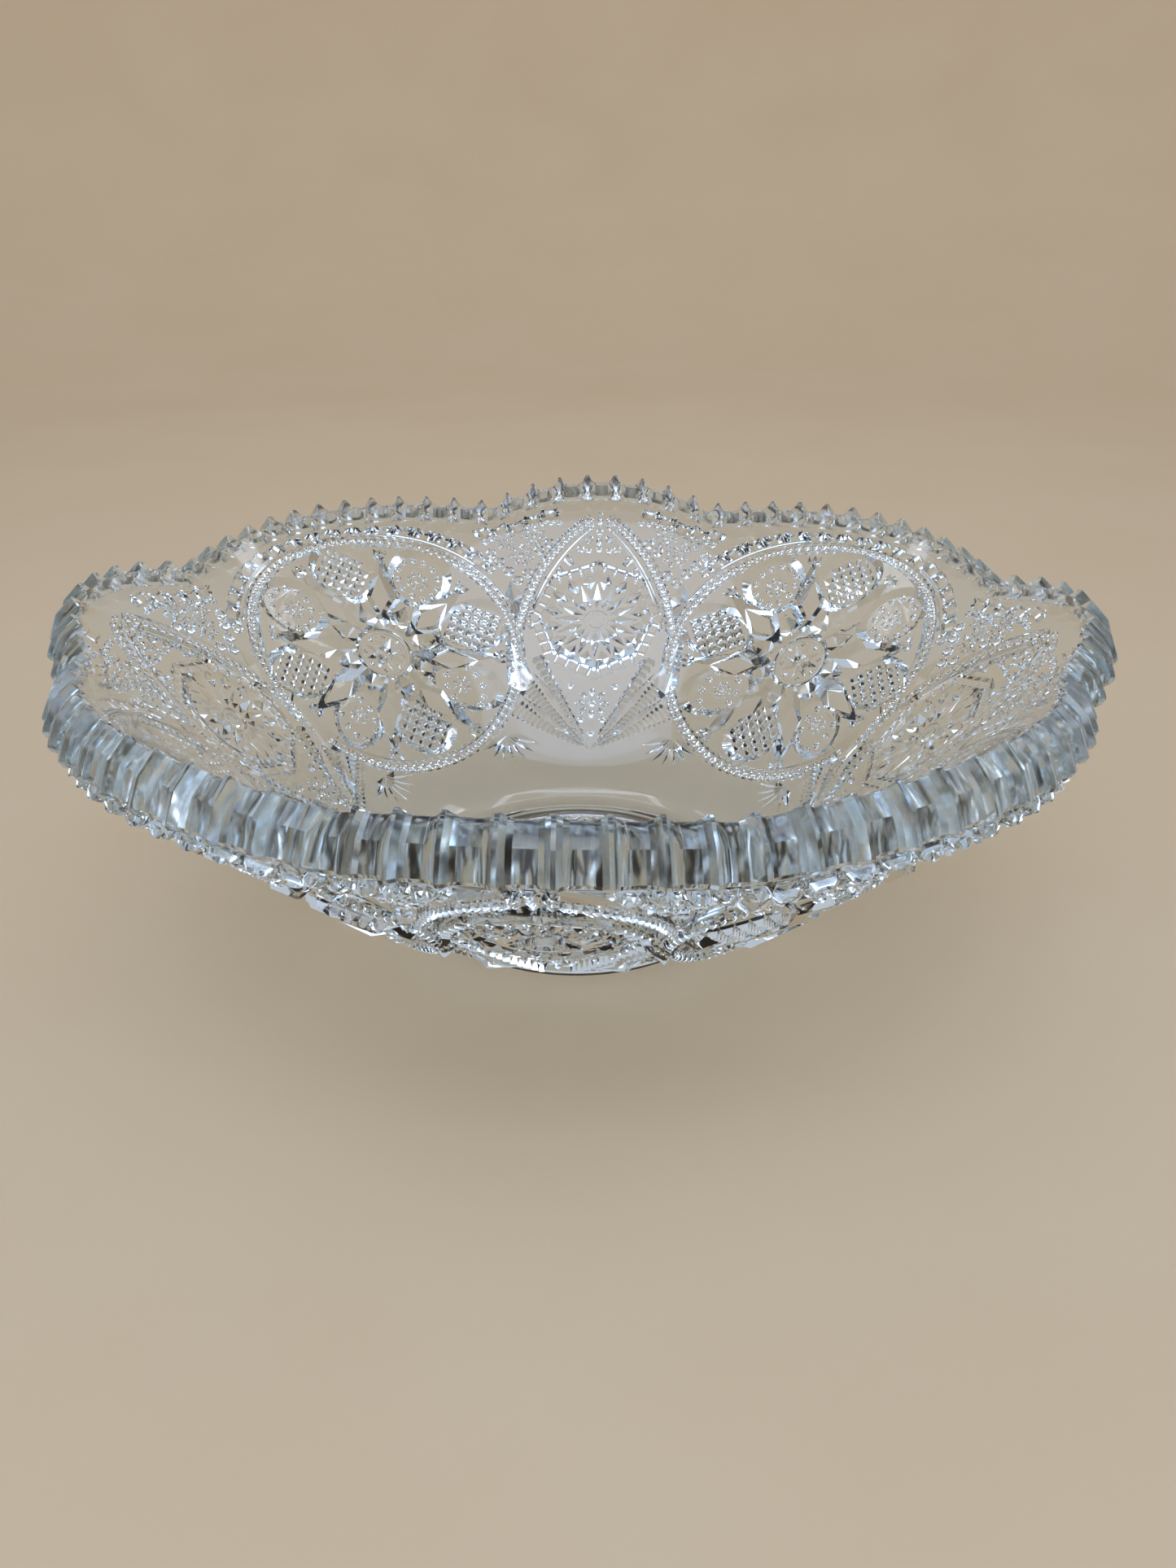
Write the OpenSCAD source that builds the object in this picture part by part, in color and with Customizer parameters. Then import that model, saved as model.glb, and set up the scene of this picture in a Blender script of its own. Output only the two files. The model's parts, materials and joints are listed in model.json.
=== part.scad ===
// Pressed-glass punch bowl: a flared bowl with a scalloped saw-tooth rim on a low collar foot.
// The glass is one pressing. Each module draws one moulded region of it, and neighbouring
// regions meet face to face. Origin: centre of the foot's resting face. +Z is up.

/* [Bowl] */
// Radius of the flat floor inside the bowl
floor_r = 46; // [42:1:50]
// Height of the inside floor above the table
floor_z = 12; // [11:0.5:14]
// Radius where the inside wall ends at the lip, at a lobe's tip
lip_r = 142; // [138:1:148]
// Height of the inside wall's end at a lobe's tip
lip_z = 100; // [92:1:108]
// Thickness of the plain wall behind the relief
wall_t = 6.5; // [5.5:0.5:8]
// Thickness of the saw-tooth lip
lip_t = 12.5; // [11:0.5:14]

/* [Rim] */
// Teeth on a wide lobe
wide_teeth = 12; // [10:1:14]
// Teeth on a narrow lobe
narrow_teeth = 9; // [6:1:10]
// How far the valleys between lobes lie inside the lobe tips
scallop = 9; // [6:0.5:11]
// How much shorter a wide lobe is than a narrow one
wide_drop = 3; // [1:0.5:4]
// Depth of the V notch between two teeth
notch = 4; // [3:0.5:6]

/* [Foot] */
// Outside radius of the foot where it rests
foot_r = 46.5; // [44:0.5:47]
// Height of the foot
foot_h = 5.5; // [5:0.5:7]
// Width of the ring that the foot rests on
foot_ring_w = 6; // [5:0.5:8]
// Depth of the recess under the foot
recess = 2.5; // [2:0.25:3]
// Rays of the star moulded under the foot
star_rays = 24; // [16:4:32]

/* [Relief] */
// Height of the mitre blades, rings and frames above the plain wall
relief_t = 4; // [3:0.25:4.5]
// Height of the diamond and flower ovals above the plain wall
oval_t = 2; // [1:0.25:2.5]
// Radius of a star medallion's ring at its middle
medal_r = 45; // [42:1:46]
// Width of that ring
medal_w = 3.5; // [3:0.5:5]
// Radius of the round button at a medallion's centre
button_r = 8.5; // [7:0.5:9]
// Radius across the corners of the arch panel's eight-sided frame
frame_r = 21; // [19:0.5:22]
// Width of the frame
frame_w = 3.5; // [3:0.5:4]
// Distance of an oval's centre from a medallion's centre
oval_at = 29; // [28:0.5:30]
// Half the length of an oval
oval_long = 11; // [9:0.5:11.5]
// Half the width of an oval
oval_wide = 8.5; // [7:0.5:9.5]
// Height of the arch rays' meeting point below a frame's centre, as a negative number
ray_root = -50; // [-52:1:-46]

/* [Hidden] */
glass = "lightcyan";
fine = 160;
lobe_pairs = 4;       // each is a wide lobe over a star and a narrow lobe over an arch
points = 8;           // blades, and ovals, of a medallion
steps = 14;           // straight pieces in half the wall's profile
rim_step = 12;        // profile step where the saw-tooth lip begins
relief_bottom = 1;    // profile step where the relief begins
foot_flare = 1;       // how far the foot widens from the table to the wall
pair_angle = 360 / lobe_pairs;
teeth = wide_teeth + narrow_teeth;
tooth_angle = pair_angle / teeth;
narrow_half = pair_angle / 5;      // from the middle of a narrow lobe to its end
wide_half = pair_angle / 2 - narrow_half;
seat_r = foot_r + foot_flare;

// --- profile of the wall: a cubic curve from the floor's edge to the lip, and its outward normal
start = [floor_r, floor_z];
start_pull = [72, 22];
end_pull = [lip_r - 28, lip_z - 18];
end = [lip_r, lip_z];

function cubic(t) = pow(1 - t, 3) * start + 3 * t * pow(1 - t, 2) * start_pull
    + 3 * t * t * (1 - t) * end_pull + pow(t, 3) * end;
function slope(t) = 3 * pow(1 - t, 2) * (start_pull - start) + 6 * t * (1 - t) * (end_pull - start_pull)
    + 3 * t * t * (end - end_pull);
function outward(t) = [slope(t)[1], -slope(t)[0]] / norm(slope(t));
function skin(t, depth) = cubic(t) + depth * outward(t);
function thickness(t) = t < 0.78 ? wall_t : wall_t + (lip_t - wall_t) * sin(90 * (t - 0.78) / 0.22);
function at(step) = step / steps;

// --- plan of the rim: lobes are half waves, and every tooth is a V between two notches
function off_axis(a) = abs(((a + pair_angle / 2) % pair_angle) - pair_angle / 2);
function lobe(a) = off_axis(a) <= narrow_half
    ? cos(90 * off_axis(a) / narrow_half) * scallop
    : cos(90 * (pair_angle / 2 - off_axis(a)) / wide_half) * (scallop - wide_drop);
function rim_r(a) = lip_r - scallop + lobe(a);

module toothed_plan(grow) {
    count = lobe_pairs * teeth;
    polygon([for (i = [0:2 * count - 1])
        let (a = i * tooth_angle / 2, r = rim_r(a) + grow - (i % 2 == 0 ? notch : 0))
        [r * sin(a), r * cos(a)]]);
}

// A layer of the wall between two depths, from one profile step to another
module layer(from, to, near, far) {
    rotate_extrude($fn = fine)
        polygon(concat([for (i = [from:to]) skin(at(i), near)], [for (i = [to:-1:from]) skin(at(i), far)]));
}

// Puts a flat figure on the outside of the wall, facing along the wall's normal, once for each lobe
// pair. The first one is centred at angle turn from +Y, and its origin lies at profile point t.
module on_wall(turn, t) {
    p = cubic(t);
    n = outward(t);
    for (k = [0:lobe_pairs - 1])
        rotate([0, 0, -turn - k * pair_angle])
            translate([0, p[0], p[1]])
                rotate([-atan2(n[0], n[1]), 0, 0])
                    linear_extrude(height = 70, center = true)
                        mirror([0, 1])
                            children();
}

// Keeps the part of on_wall's figure that lies in the relief layer of the given height
module relief(turn, t, height) {
    intersection() {
        layer(relief_bottom, rim_step, wall_t, wall_t + height);
        on_wall(turn, t) children();
    }
}

star_turn = pair_angle / 2;  // the medallions stand half way between the arches
star_t = 0.5;                // profile point of a medallion's centre
arch_t = 0.54;               // profile point of an arch panel's centre

module ring(r, w) {
    difference() {
        circle(r = r + w / 2, $fn = 96);
        circle(r = r - w / 2, $fn = 96);
    }
}

// A long kite from radius inner to outer, widest at a third of its length
module kite(inner, outer, half) {
    wide = inner + (outer - inner) / 3;
    polygon([[0, inner], [half, wide], [0, outer], [-half, wide]]);
}

module oval(centre, long, wide) {
    translate([0, centre]) scale([wide / long, 1]) circle(r = long, $fn = 40);
}

// --- the moulded regions
module foot() {
    color(glass) rotate_extrude($fn = fine)
        polygon([[0, recess], [foot_r - foot_ring_w - 1, recess], [foot_r - foot_ring_w, 0],
            [foot_r - 0.5, 0], [foot_r, 0.6], [seat_r, foot_h], [0, foot_h]]);
}

module base_star() {
    reach = foot_r - foot_ring_w - 3;
    color(glass) translate([0, 0, recess - 1.2])
        linear_extrude(height = 1.2)
            polygon([for (i = [0:2 * star_rays - 1])
                let (a = i * 180 / star_rays, r = i % 2 == 0 ? reach : reach * 0.6)
                [r * sin(a), r * cos(a)]]);
}

module bowl_wall() {
    color(glass) rotate_extrude($fn = fine)
        polygon(concat([[0, foot_h], [0, floor_z]],
            [for (i = [0:rim_step]) cubic(at(i))],
            [for (i = [rim_step:-1:1]) skin(at(i), thickness(at(i)))],
            [[seat_r, foot_h]]));
}

module sawtooth_rim() {
    // the plan shrinks by its slant over the lip's height, so the teeth's ends lean back
    low = lip_z - 24;
    high = lip_z + 6;
    lean = (high - low) * 0.8;
    color(glass) intersection() {
        rotate_extrude($fn = fine)
            polygon(concat([for (i = [rim_step:steps + 1]) cubic(at(i))],
                [for (i = [steps + 1:-1:rim_step]) skin(at(i), thickness(min(at(i), 1)))]));
        translate([0, 0, low])
            linear_extrude(height = high - low, scale = (lip_r - 4.8) / (lip_r + 19.2))
                toothed_plan(19.2);
    }
}

module medallion_rings() {
    color(glass) relief(star_turn, star_t, relief_t) ring(medal_r, medal_w);
}

// Short radial blocks outside the upper part of each medallion's ring
module medallion_notches() {
    half_count = 6;
    color(glass) relief(star_turn, star_t, relief_t)
        for (k = [-half_count:half_count])
            rotate(k * 8) translate([-2, medal_r + medal_w / 2 + 0.5]) square([4, 4]);
}

module hobstar_blades() {
    reach = medal_r - medal_w / 2 - 0.3;
    color(glass) relief(star_turn, star_t, relief_t) difference() {
        for (k = [0:points - 1]) rotate((k + 0.5) * 360 / points) kite(button_r + 1, reach, 5);
        for (k = [0:points - 1]) rotate(k * 360 / points) oval(oval_at, oval_long, oval_wide);
    }
}

module diamond_ovals() {
    color(glass) relief(star_turn, star_t, oval_t)
        for (k = [0:2:points - 1]) rotate(k * 360 / points) oval(oval_at, oval_long, oval_wide);
}

module flower_ovals() {
    color(glass) relief(star_turn, star_t, oval_t)
        for (k = [1:2:points - 1]) rotate(k * 360 / points) oval(oval_at, oval_long, oval_wide);
}

module centre_buttons() {
    color(glass) relief(star_turn, star_t, relief_t) circle(r = button_r, $fn = 48);
}

module arch_frames() {
    color(glass) relief(0, arch_t, relief_t) difference() {
        circle(r = frame_r, $fn = 8);
        circle(r = frame_r - frame_w, $fn = 8);
    }
}

// Two rings of radial blocks inside each frame, with a button at the middle
module arch_hobs() {
    hobs = 16;
    color(glass) relief(0, arch_t, oval_t) {
        circle(r = 4.5, $fn = 32);
        for (k = [0:hobs - 1]) rotate(k * 360 / hobs) kite(6, frame_r - frame_w - 2.5, 1.6);
    }
}

// A pointed arch between two circles of radius r, whose centres lie on either side
module pointed_arch(r) {
    centre_x = 49.3;
    centre_y = -11.8;
    intersection_for (side = [-1, 1]) translate([side * centre_x, centre_y]) circle(r = r, $fn = 96);
}

// The two curved sides of each arch, down to where they meet the medallions
module ogive_arcs() {
    outer_r = 75.5;
    width = 3;
    color(glass) relief(0, arch_t, relief_t) intersection() {
        difference() {
            pointed_arch(outer_r);
            pointed_arch(outer_r - width);
        }
        translate([-30, -4]) square([60, 60]);
    }
}

// Three ribbed rays on each side, spreading upwards from the foot to the frame
module arch_rays() {
    first_angle = 24;
    spread = 17;
    color(glass) relief(0, arch_t, oval_t)
        for (side = [-1, 1], k = [0:2])
            let (near = 12 + 4 * k, far = 36 - 3 * k, half = k + 0.5)
            translate([0, ray_root])
                rotate(-side * (first_angle + spread * k))
                    polygon([[-half - 0.5, near], [half + 0.5, near], [half, far], [-half, far]]);
}

// A burst of pointed leaves at the foot end of each medallion
module lower_fans() {
    leaves = 2;
    color(glass) relief(star_turn, star_t, oval_t)
        translate([0, -medal_r - medal_w / 2 - 1])
            mirror([0, 1])
                for (k = [-leaves:leaves]) rotate(k * 28) kite(0.8, 10, 1.7);
}

foot();
base_star();
bowl_wall();
sawtooth_rim();
medallion_rings();
medallion_notches();
hobstar_blades();
diamond_ovals();
flower_ovals();
centre_buttons();
arch_frames();
arch_hobs();
ogive_arcs();
arch_rays();
lower_fans();
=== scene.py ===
"""Looks for the pressed-glass punch bowl: one continuous piece of clear glass on a pale sweep.

The smooth inside, the saw-tooth lip and the foot are lofted. The cut pattern on the outside is
laid out on the flat development of the wall, stamped and fused by Geometry Nodes, and then
wrapped onto the wall. Everything is in metres in the part's own frame; sizes of glass details
are given in millimetres.
"""

import json
import logging
import math
from dataclasses import dataclass, field, replace
from enum import Enum
from typing import Callable, Iterable, Optional, Union

import bmesh
import bpy
import numpy as np
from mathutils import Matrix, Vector

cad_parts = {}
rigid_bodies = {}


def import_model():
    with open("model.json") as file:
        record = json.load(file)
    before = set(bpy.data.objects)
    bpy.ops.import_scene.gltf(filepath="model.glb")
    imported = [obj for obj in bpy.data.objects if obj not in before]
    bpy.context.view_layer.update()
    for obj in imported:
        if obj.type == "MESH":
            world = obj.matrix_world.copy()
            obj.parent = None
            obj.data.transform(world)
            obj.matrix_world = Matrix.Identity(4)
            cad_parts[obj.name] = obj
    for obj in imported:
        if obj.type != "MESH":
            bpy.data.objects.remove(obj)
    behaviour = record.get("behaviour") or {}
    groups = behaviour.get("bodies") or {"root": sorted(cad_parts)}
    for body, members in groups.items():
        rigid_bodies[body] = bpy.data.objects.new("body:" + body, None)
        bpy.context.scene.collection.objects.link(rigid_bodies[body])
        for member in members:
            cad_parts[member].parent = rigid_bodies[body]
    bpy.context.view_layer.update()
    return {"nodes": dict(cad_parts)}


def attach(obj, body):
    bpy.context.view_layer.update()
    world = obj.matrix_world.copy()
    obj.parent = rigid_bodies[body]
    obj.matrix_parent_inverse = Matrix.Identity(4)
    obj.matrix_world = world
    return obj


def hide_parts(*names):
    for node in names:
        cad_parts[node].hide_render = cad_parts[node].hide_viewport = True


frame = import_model()

LOG = logging.getLogger("punch_bowl")
MM = 0.001
SATIN = "satin"

Point2 = tuple[float, float]
Point3 = tuple[float, float, float]
Size3 = tuple[float, float, float]
NodeValue = Union[bpy.types.NodeSocket, float, int, bool, str, tuple, bpy.types.ID]


# ---------------------------------------------------------------------------------------------
# Small helpers
# ---------------------------------------------------------------------------------------------
def linear(hex_colour: str) -> tuple[float, float, float, float]:
    """Turns an sRGB hex colour to linear values.

    Args:
        hex_colour: a colour such as "#F4F6F5".

    Returns:
        Linear red, green and blue, and a full alpha.
    """
    parts = [int(hex_colour[i:i + 2], 16) / 255 for i in (1, 3, 5)]
    return (*(c / 12.92 if c <= 0.04045 else ((c + 0.055) / 1.055) ** 2.4 for c in parts), 1.0)


def add_node(tree: bpy.types.NodeTree, kind: str,
             inputs: Optional[dict[Union[str, int], NodeValue]] = None,
             **settings: object) -> bpy.types.Node:
    """Adds a node with its settings, values and links.

    Args:
        tree: the node tree that gets the node.
        kind: the node's type name.
        inputs: for each input socket, by name or place, a value, a socket or a list of sockets.
        **settings: properties of the node itself.

    Returns:
        The new node.
    """
    node = tree.nodes.new(kind)
    for name, value in settings.items():
        setattr(node, name, value)
    for key, value in (inputs or {}).items():
        for item in value if isinstance(value, list) else [value]:
            if isinstance(item, bpy.types.NodeSocket):
                tree.links.new(item, node.inputs[key])
            else:
                node.inputs[key].default_value = item
    return node


def bare_material(name: str) -> bpy.types.Material:
    """Makes a material whose node tree is still empty."""
    mat = bpy.data.materials.new(name)
    mat.use_nodes = True
    mat.node_tree.nodes.clear()
    return mat


def bare_tree(name: str, **inputs: str) -> bpy.types.NodeTree:
    """Makes a Geometry Nodes tree that takes and gives geometry and has no nodes yet.

    Args:
        name: the tree's name.
        **inputs: its other named inputs, each with its kind of socket.

    Returns:
        The tree.
    """
    tree = bpy.data.node_groups.new(name, "GeometryNodeTree")
    for label, kind in {"Geometry": "Geometry", **inputs}.items():
        tree.interface.new_socket(label, in_out="INPUT", socket_type=f"NodeSocket{kind}")
    tree.interface.new_socket("Geometry", in_out="OUTPUT", socket_type="NodeSocketGeometry")
    return tree


def run_tree(tree: bpy.types.NodeTree, start: bpy.types.Mesh, **values: NodeValue) -> bpy.types.Mesh:
    """Runs a Geometry Nodes tree on a mesh.

    Args:
        tree: the tree.
        start: the mesh that goes in.
        **values: values of the tree's named inputs.

    Returns:
        What comes out, as a plain mesh.
    """
    holder = place_object(start)
    modifier = holder.modifiers.new(tree.name, "NODES")
    modifier.node_group = tree
    for item in tree.interface.items_tree:
        if item.in_out == "INPUT" and item.name in values:
            modifier[item.identifier] = values[item.name]
    depsgraph = bpy.context.evaluated_depsgraph_get()
    mesh = bpy.data.meshes.new_from_object(holder.evaluated_get(depsgraph))
    bpy.data.objects.remove(holder)
    return mesh


def place_object(data: Union[bpy.types.Mesh, bpy.types.Light, bpy.types.Camera],
                 group: Optional[bpy.types.Collection] = None) -> bpy.types.Object:
    """Puts a mesh, light or camera in the scene as an object of the same name.

    Args:
        data: the mesh, light or camera.
        group: the collection that gets it, or else the scene's own.

    Returns:
        The object.
    """
    thing = bpy.data.objects.new(data.name, data)
    (group or bpy.context.scene.collection).objects.link(thing)
    return thing


def turned(angle: float, point: Point2) -> Point2:
    """Turns a flat point clockwise about the origin by an angle in degrees."""
    a = math.radians(angle)
    return (point[0] * math.cos(a) + point[1] * math.sin(a),
            point[1] * math.cos(a) - point[0] * math.sin(a))


def around(centre: Point2, radii: Point2, angle: float) -> Point2:
    """Finds a point of an ellipse, from its half width and half height, clockwise from its top."""
    a = math.radians(angle)
    return (centre[0] + radii[0] * math.sin(a), centre[1] + radii[1] * math.cos(a))


def between(start: Point2, end: Point2, part: float) -> Point2:
    """Finds the point that lies a given part of the way from one point to another."""
    return (start[0] + (end[0] - start[0]) * part, start[1] + (end[1] - start[1]) * part)


def heading(start: Point2, end: Point2) -> float:
    """Direction from one point to another, in degrees clockwise from +Y."""
    return math.degrees(math.atan2(end[0] - start[0], end[1] - start[1]))


def both_sides(angles: Iterable[float]) -> list[float]:
    """Lists angles from a middle line together with their mirror images."""
    return [side for angle in angles for side in ((angle,) if angle in (0, 180) else (angle, -angle))]


def outward_mesh(name: str, verts: list[Point3], faces: list[tuple[int, ...]]) -> bpy.types.Mesh:
    """Makes a mesh of a closed solid, with its faces outward.

    Args:
        name: the mesh's name.
        verts: its points.
        faces: its faces, as places in the list of points.

    Returns:
        The solid's mesh.
    """
    mesh = bpy.data.meshes.new(name)
    mesh.from_pydata(verts, [], faces)
    bm = bmesh.new()
    bm.from_mesh(mesh)
    bmesh.ops.recalc_face_normals(bm, faces=bm.faces)
    bm.to_mesh(mesh)
    bm.free()
    return mesh


def convex_mesh(name: str, points: Iterable[Point3]) -> bpy.types.Mesh:
    """Makes the closed convex solid around a set of points.

    Args:
        name: the mesh's name.
        points: its corners.

    Returns:
        The solid's mesh, with faces outward.
    """
    bm = bmesh.new()
    for point in points:
        bm.verts.new(point)
    hull = bmesh.ops.convex_hull(bm, input=bm.verts)
    spare = {g for g in hull["geom_interior"] + hull["geom_unused"] if isinstance(g, bmesh.types.BMVert)}
    bmesh.ops.delete(bm, geom=list(spare), context="VERTS")
    bmesh.ops.recalc_face_normals(bm, faces=bm.faces)
    mesh = bpy.data.meshes.new(name)
    bm.to_mesh(mesh)
    bm.free()
    return mesh


# ---------------------------------------------------------------------------------------------
# Finishes
# ---------------------------------------------------------------------------------------------
@dataclass(frozen=True)
class SodaLimeGlass:
    """Clear soda-lime glass, pressed and fire-polished: sharp refraction with a faint grey-blue cast."""

    name: str = "fire_polished_soda_lime_glass"
    colour: str = "#F3F9FC"
    lip_colour: str = "#D8ECF4"
    shadow_colour: str = "#D6D3CC"
    ior: float = 1.5
    roughness: float = 0.045
    lip_roughness: float = 0.13
    # the ripple's waves are about 18 mm long
    ripple_scale: float = 55.0
    ripple_strength: float = 0.04
    ripple_depth: float = 0.002

    def material(self) -> bpy.types.Material:
        """Builds the glass, whose shadow is lighter than a solid's because glass passes the light on.

        Returns:
            The glass material.
        """
        mat = bare_material(self.name)
        tree = mat.node_tree
        where = add_node(tree, "ShaderNodeTexCoord")
        # the mould leaves the fire-polished skin very slightly wavy
        ripple = add_node(tree, "ShaderNodeTexNoise", {"Vector": where.outputs["Object"],
                                                       "Scale": self.ripple_scale, "Detail": 1.0})
        bump = add_node(tree, "ShaderNodeBump", {"Height": ripple.outputs["Fac"],
                                                 "Strength": self.ripple_strength,
                                                 "Distance": self.ripple_depth})
        # the lip's end faces are a little less clear than the walls
        satin = add_node(tree, "ShaderNodeAttribute", attribute_name=SATIN)
        gloss = add_node(tree, "ShaderNodeMapRange", {"Value": satin.outputs["Fac"],
                                                      "To Min": self.roughness,
                                                      "To Max": self.lip_roughness})
        # light goes a long way through the thick lip, so it picks up more of the glass's own cast
        cast = add_node(tree, "ShaderNodeMix", {0: satin.outputs["Fac"], 6: linear(self.colour),
                                                7: linear(self.lip_colour)}, data_type="RGBA")
        glass = add_node(tree, "ShaderNodeBsdfPrincipled", {
            "Base Color": cast.outputs[2], "Roughness": gloss.outputs[0], "IOR": self.ior,
            "Transmission Weight": 1.0, "Normal": bump.outputs["Normal"]})
        passing = add_node(tree, "ShaderNodeBsdfTransparent", {"Color": linear(self.shadow_colour)})
        path = add_node(tree, "ShaderNodeLightPath")
        mixed = add_node(tree, "ShaderNodeMixShader", {0: path.outputs["Is Shadow Ray"],
                                                       1: glass.outputs[0], 2: passing.outputs[0]})
        add_node(tree, "ShaderNodeOutputMaterial", {"Surface": mixed.outputs[0]})
        return mat


@dataclass(frozen=True)
class MattPaper:
    """Warm pale paper for the sweep: no gloss, and a mottle so faint that it only breaks up the colour."""

    name: str = "warm_matt_paper"
    light: str = "#CDB594"
    dark: str = "#C7AE8B"
    roughness: float = 0.9
    # the mottle's blotches are about 110 mm wide
    mottle_scale: float = 9.0

    def material(self) -> bpy.types.Material:
        """Builds the paper.

        Returns:
            The paper material.
        """
        mat = bare_material(self.name)
        tree = mat.node_tree
        where = add_node(tree, "ShaderNodeTexCoord")
        mottle = add_node(tree, "ShaderNodeTexNoise", {"Vector": where.outputs["Object"],
                                                       "Scale": self.mottle_scale, "Detail": 4.0})
        ramp = add_node(tree, "ShaderNodeValToRGB", {"Fac": mottle.outputs["Fac"]})
        ramp.color_ramp.elements[0].color = linear(self.dark)
        ramp.color_ramp.elements[1].color = linear(self.light)
        paper = add_node(tree, "ShaderNodeBsdfPrincipled", {"Base Color": ramp.outputs["Color"],
                                                            "Roughness": self.roughness})
        add_node(tree, "ShaderNodeOutputMaterial", {"Surface": paper.outputs[0]})
        return mat


# ---------------------------------------------------------------------------------------------
# The wall's shape, which every part of the bowl shares
# ---------------------------------------------------------------------------------------------
@dataclass(frozen=True)
class Wall:
    """Profile and plan of the flared wall, in millimetres.

    The wall is nearly a cone, so it opens out flat into a sector. A flat point is (x, y) with its
    origin at the sector's tip, +Y along the middle of an arch panel, and `start` at the floor.
    Every ring of the bowl has two points to a tooth, so that its parts meet point to point.
    """

    floor_r: float = 46.0
    floor_z: float = 12.0
    lip_r: float = 142.0
    lip_z: float = 100.0
    # the ends of the profile's two handles: from the axis and the table, and back from the lip
    low_handle: Point2 = (72.0, 22.0)
    high_handle: Point2 = (28.0, 18.0)
    # the plain wall's thickness at the floor and the lip, and how late it swells between them
    skin: float = 6.2
    lip_skin: float = 13.3
    swell: float = 1.5
    # the lip's plan: a narrow and a wide lobe for each pair
    lobe_pairs: int = 4
    narrow_half: float = 18.0
    wide_half: float = 27.0
    scallop: float = 9.0
    wide_drop: float = 3.0
    teeth: int = 84
    # the plain glass above the pattern, and how the pattern is shifted up where the wall is thick
    relief_margin: float = 6.0
    rise: float = 0.45
    rise_power: int = 16
    samples: int = 400

    def __post_init__(self) -> None:
        """Works out the curve once, at even steps of its parameter."""
        t = np.linspace(0, 1, self.samples)[:, None]
        p0, p3 = np.array([self.floor_r, self.floor_z]), np.array([self.lip_r, self.lip_z])
        p1, p2 = np.array(self.low_handle), p3 - np.array(self.high_handle)
        curve = (1 - t) ** 3 * p0 + 3 * t * (1 - t) ** 2 * p1 + 3 * t * t * (1 - t) * p2 + t ** 3 * p3
        slope = 3 * (1 - t) ** 2 * (p1 - p0) + 6 * t * (1 - t) * (p2 - p1) + 3 * t * t * (p3 - p2)
        slope /= np.linalg.norm(slope, axis=1, keepdims=True)
        lengths = np.concatenate([[0], np.cumsum(np.linalg.norm(np.diff(curve, axis=0), axis=1))])
        object.__setattr__(self, "curve", curve)
        object.__setattr__(self, "slope", slope)
        object.__setattr__(self, "lengths", lengths)

    @property
    def length(self) -> float:
        """Length of the profile from the floor to a narrow lobe's lip."""
        return float(self.lengths[-1])

    @property
    def opening(self) -> float:
        """Flat degrees for each degree round the bowl."""
        return (self.lip_r - self.floor_r) / self.length

    @property
    def start(self) -> float:
        """Distance from the flat sector's tip to the edge of the floor."""
        return self.floor_r / self.opening

    @property
    def half_pair(self) -> float:
        """Degrees round the bowl from the middle of an arch panel to the middle of a medallion."""
        return 180 / self.lobe_pairs

    @property
    def ring_points(self) -> int:
        """Number of points in each ring of the bowl."""
        return 2 * self.teeth

    def along(self, s: np.ndarray) -> tuple[np.ndarray, np.ndarray]:
        """Finds the inside surface's profile at distances up the wall.

        Args:
            s: distances from the floor's edge, in millimetres.

        Returns:
            Points (radius, height) and unit directions up the wall there.
        """
        at = [np.interp(s, self.lengths, self.curve[:, i]) for i in (0, 1)]
        up = [np.interp(s, self.lengths, self.slope[:, i]) for i in (0, 1)]
        beyond = np.maximum(np.asarray(s) - self.length, 0)
        return (np.stack([at[0] + beyond * self.slope[-1, 0], at[1] + beyond * self.slope[-1, 1]], -1),
                np.stack(up, -1))

    def lobe(self, azimuth: np.ndarray) -> np.ndarray:
        """How far the lip stands beyond the valleys, in millimetres, at an angle round the bowl."""
        pair = 2 * self.half_pair
        off = np.abs((np.asarray(azimuth, float) + self.half_pair) % pair - self.half_pair)
        narrow = np.cos(np.radians(90 * off / self.narrow_half)) * self.scallop
        wide = (np.cos(np.radians(90 * (self.half_pair - off) / self.wide_half))
                * (self.scallop - self.wide_drop))
        return np.where(off <= self.narrow_half, narrow, wide)

    def edge(self, azimuth: np.ndarray) -> np.ndarray:
        """Distance up the wall to the lip's edge at an angle round the bowl."""
        radius = self.lip_r - self.scallop + self.lobe(azimuth)
        return np.interp(radius, self.curve[:, 0], self.lengths)

    def relief_top(self, azimuth: np.ndarray) -> np.ndarray:
        """Distance up the wall to the upper end of the pattern's sheet."""
        return self.edge(azimuth) - self.relief_margin

    def thickness(self, s: np.ndarray, azimuth: np.ndarray) -> np.ndarray:
        """Thickness of the plain wall, which swells steadily towards the lip."""
        rise = np.clip(np.asarray(s) / self.edge(azimuth), 0, 1)
        return self.skin + (self.lip_skin - self.skin) * rise ** self.swell

    def place(self, azimuth: np.ndarray, s: np.ndarray, depth: np.ndarray) -> np.ndarray:
        """Puts points on or in the wall.

        Args:
            azimuth: degrees clockwise from +Y.
            s: distances up the wall.
            depth: distances outward from the inside surface.

        Returns:
            Points in metres.
        """
        at, up = self.along(s)
        r = at[..., 0] + depth * up[..., 1]
        z = at[..., 1] - depth * up[..., 0]
        a = np.radians(azimuth)
        return np.stack([r * np.sin(a), r * np.cos(a), z], -1) * MM

    def wrap(self, flat: np.ndarray) -> np.ndarray:
        """Wraps the flat sheet onto the wall's outside.

        Args:
            flat: flat points (x, y, height above the sheet), in millimetres.

        Returns:
            Points in metres.
        """
        s = np.hypot(flat[:, 0], flat[:, 1]) - self.start
        azimuth = np.degrees(np.arctan2(flat[:, 0], flat[:, 1])) / self.opening
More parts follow.
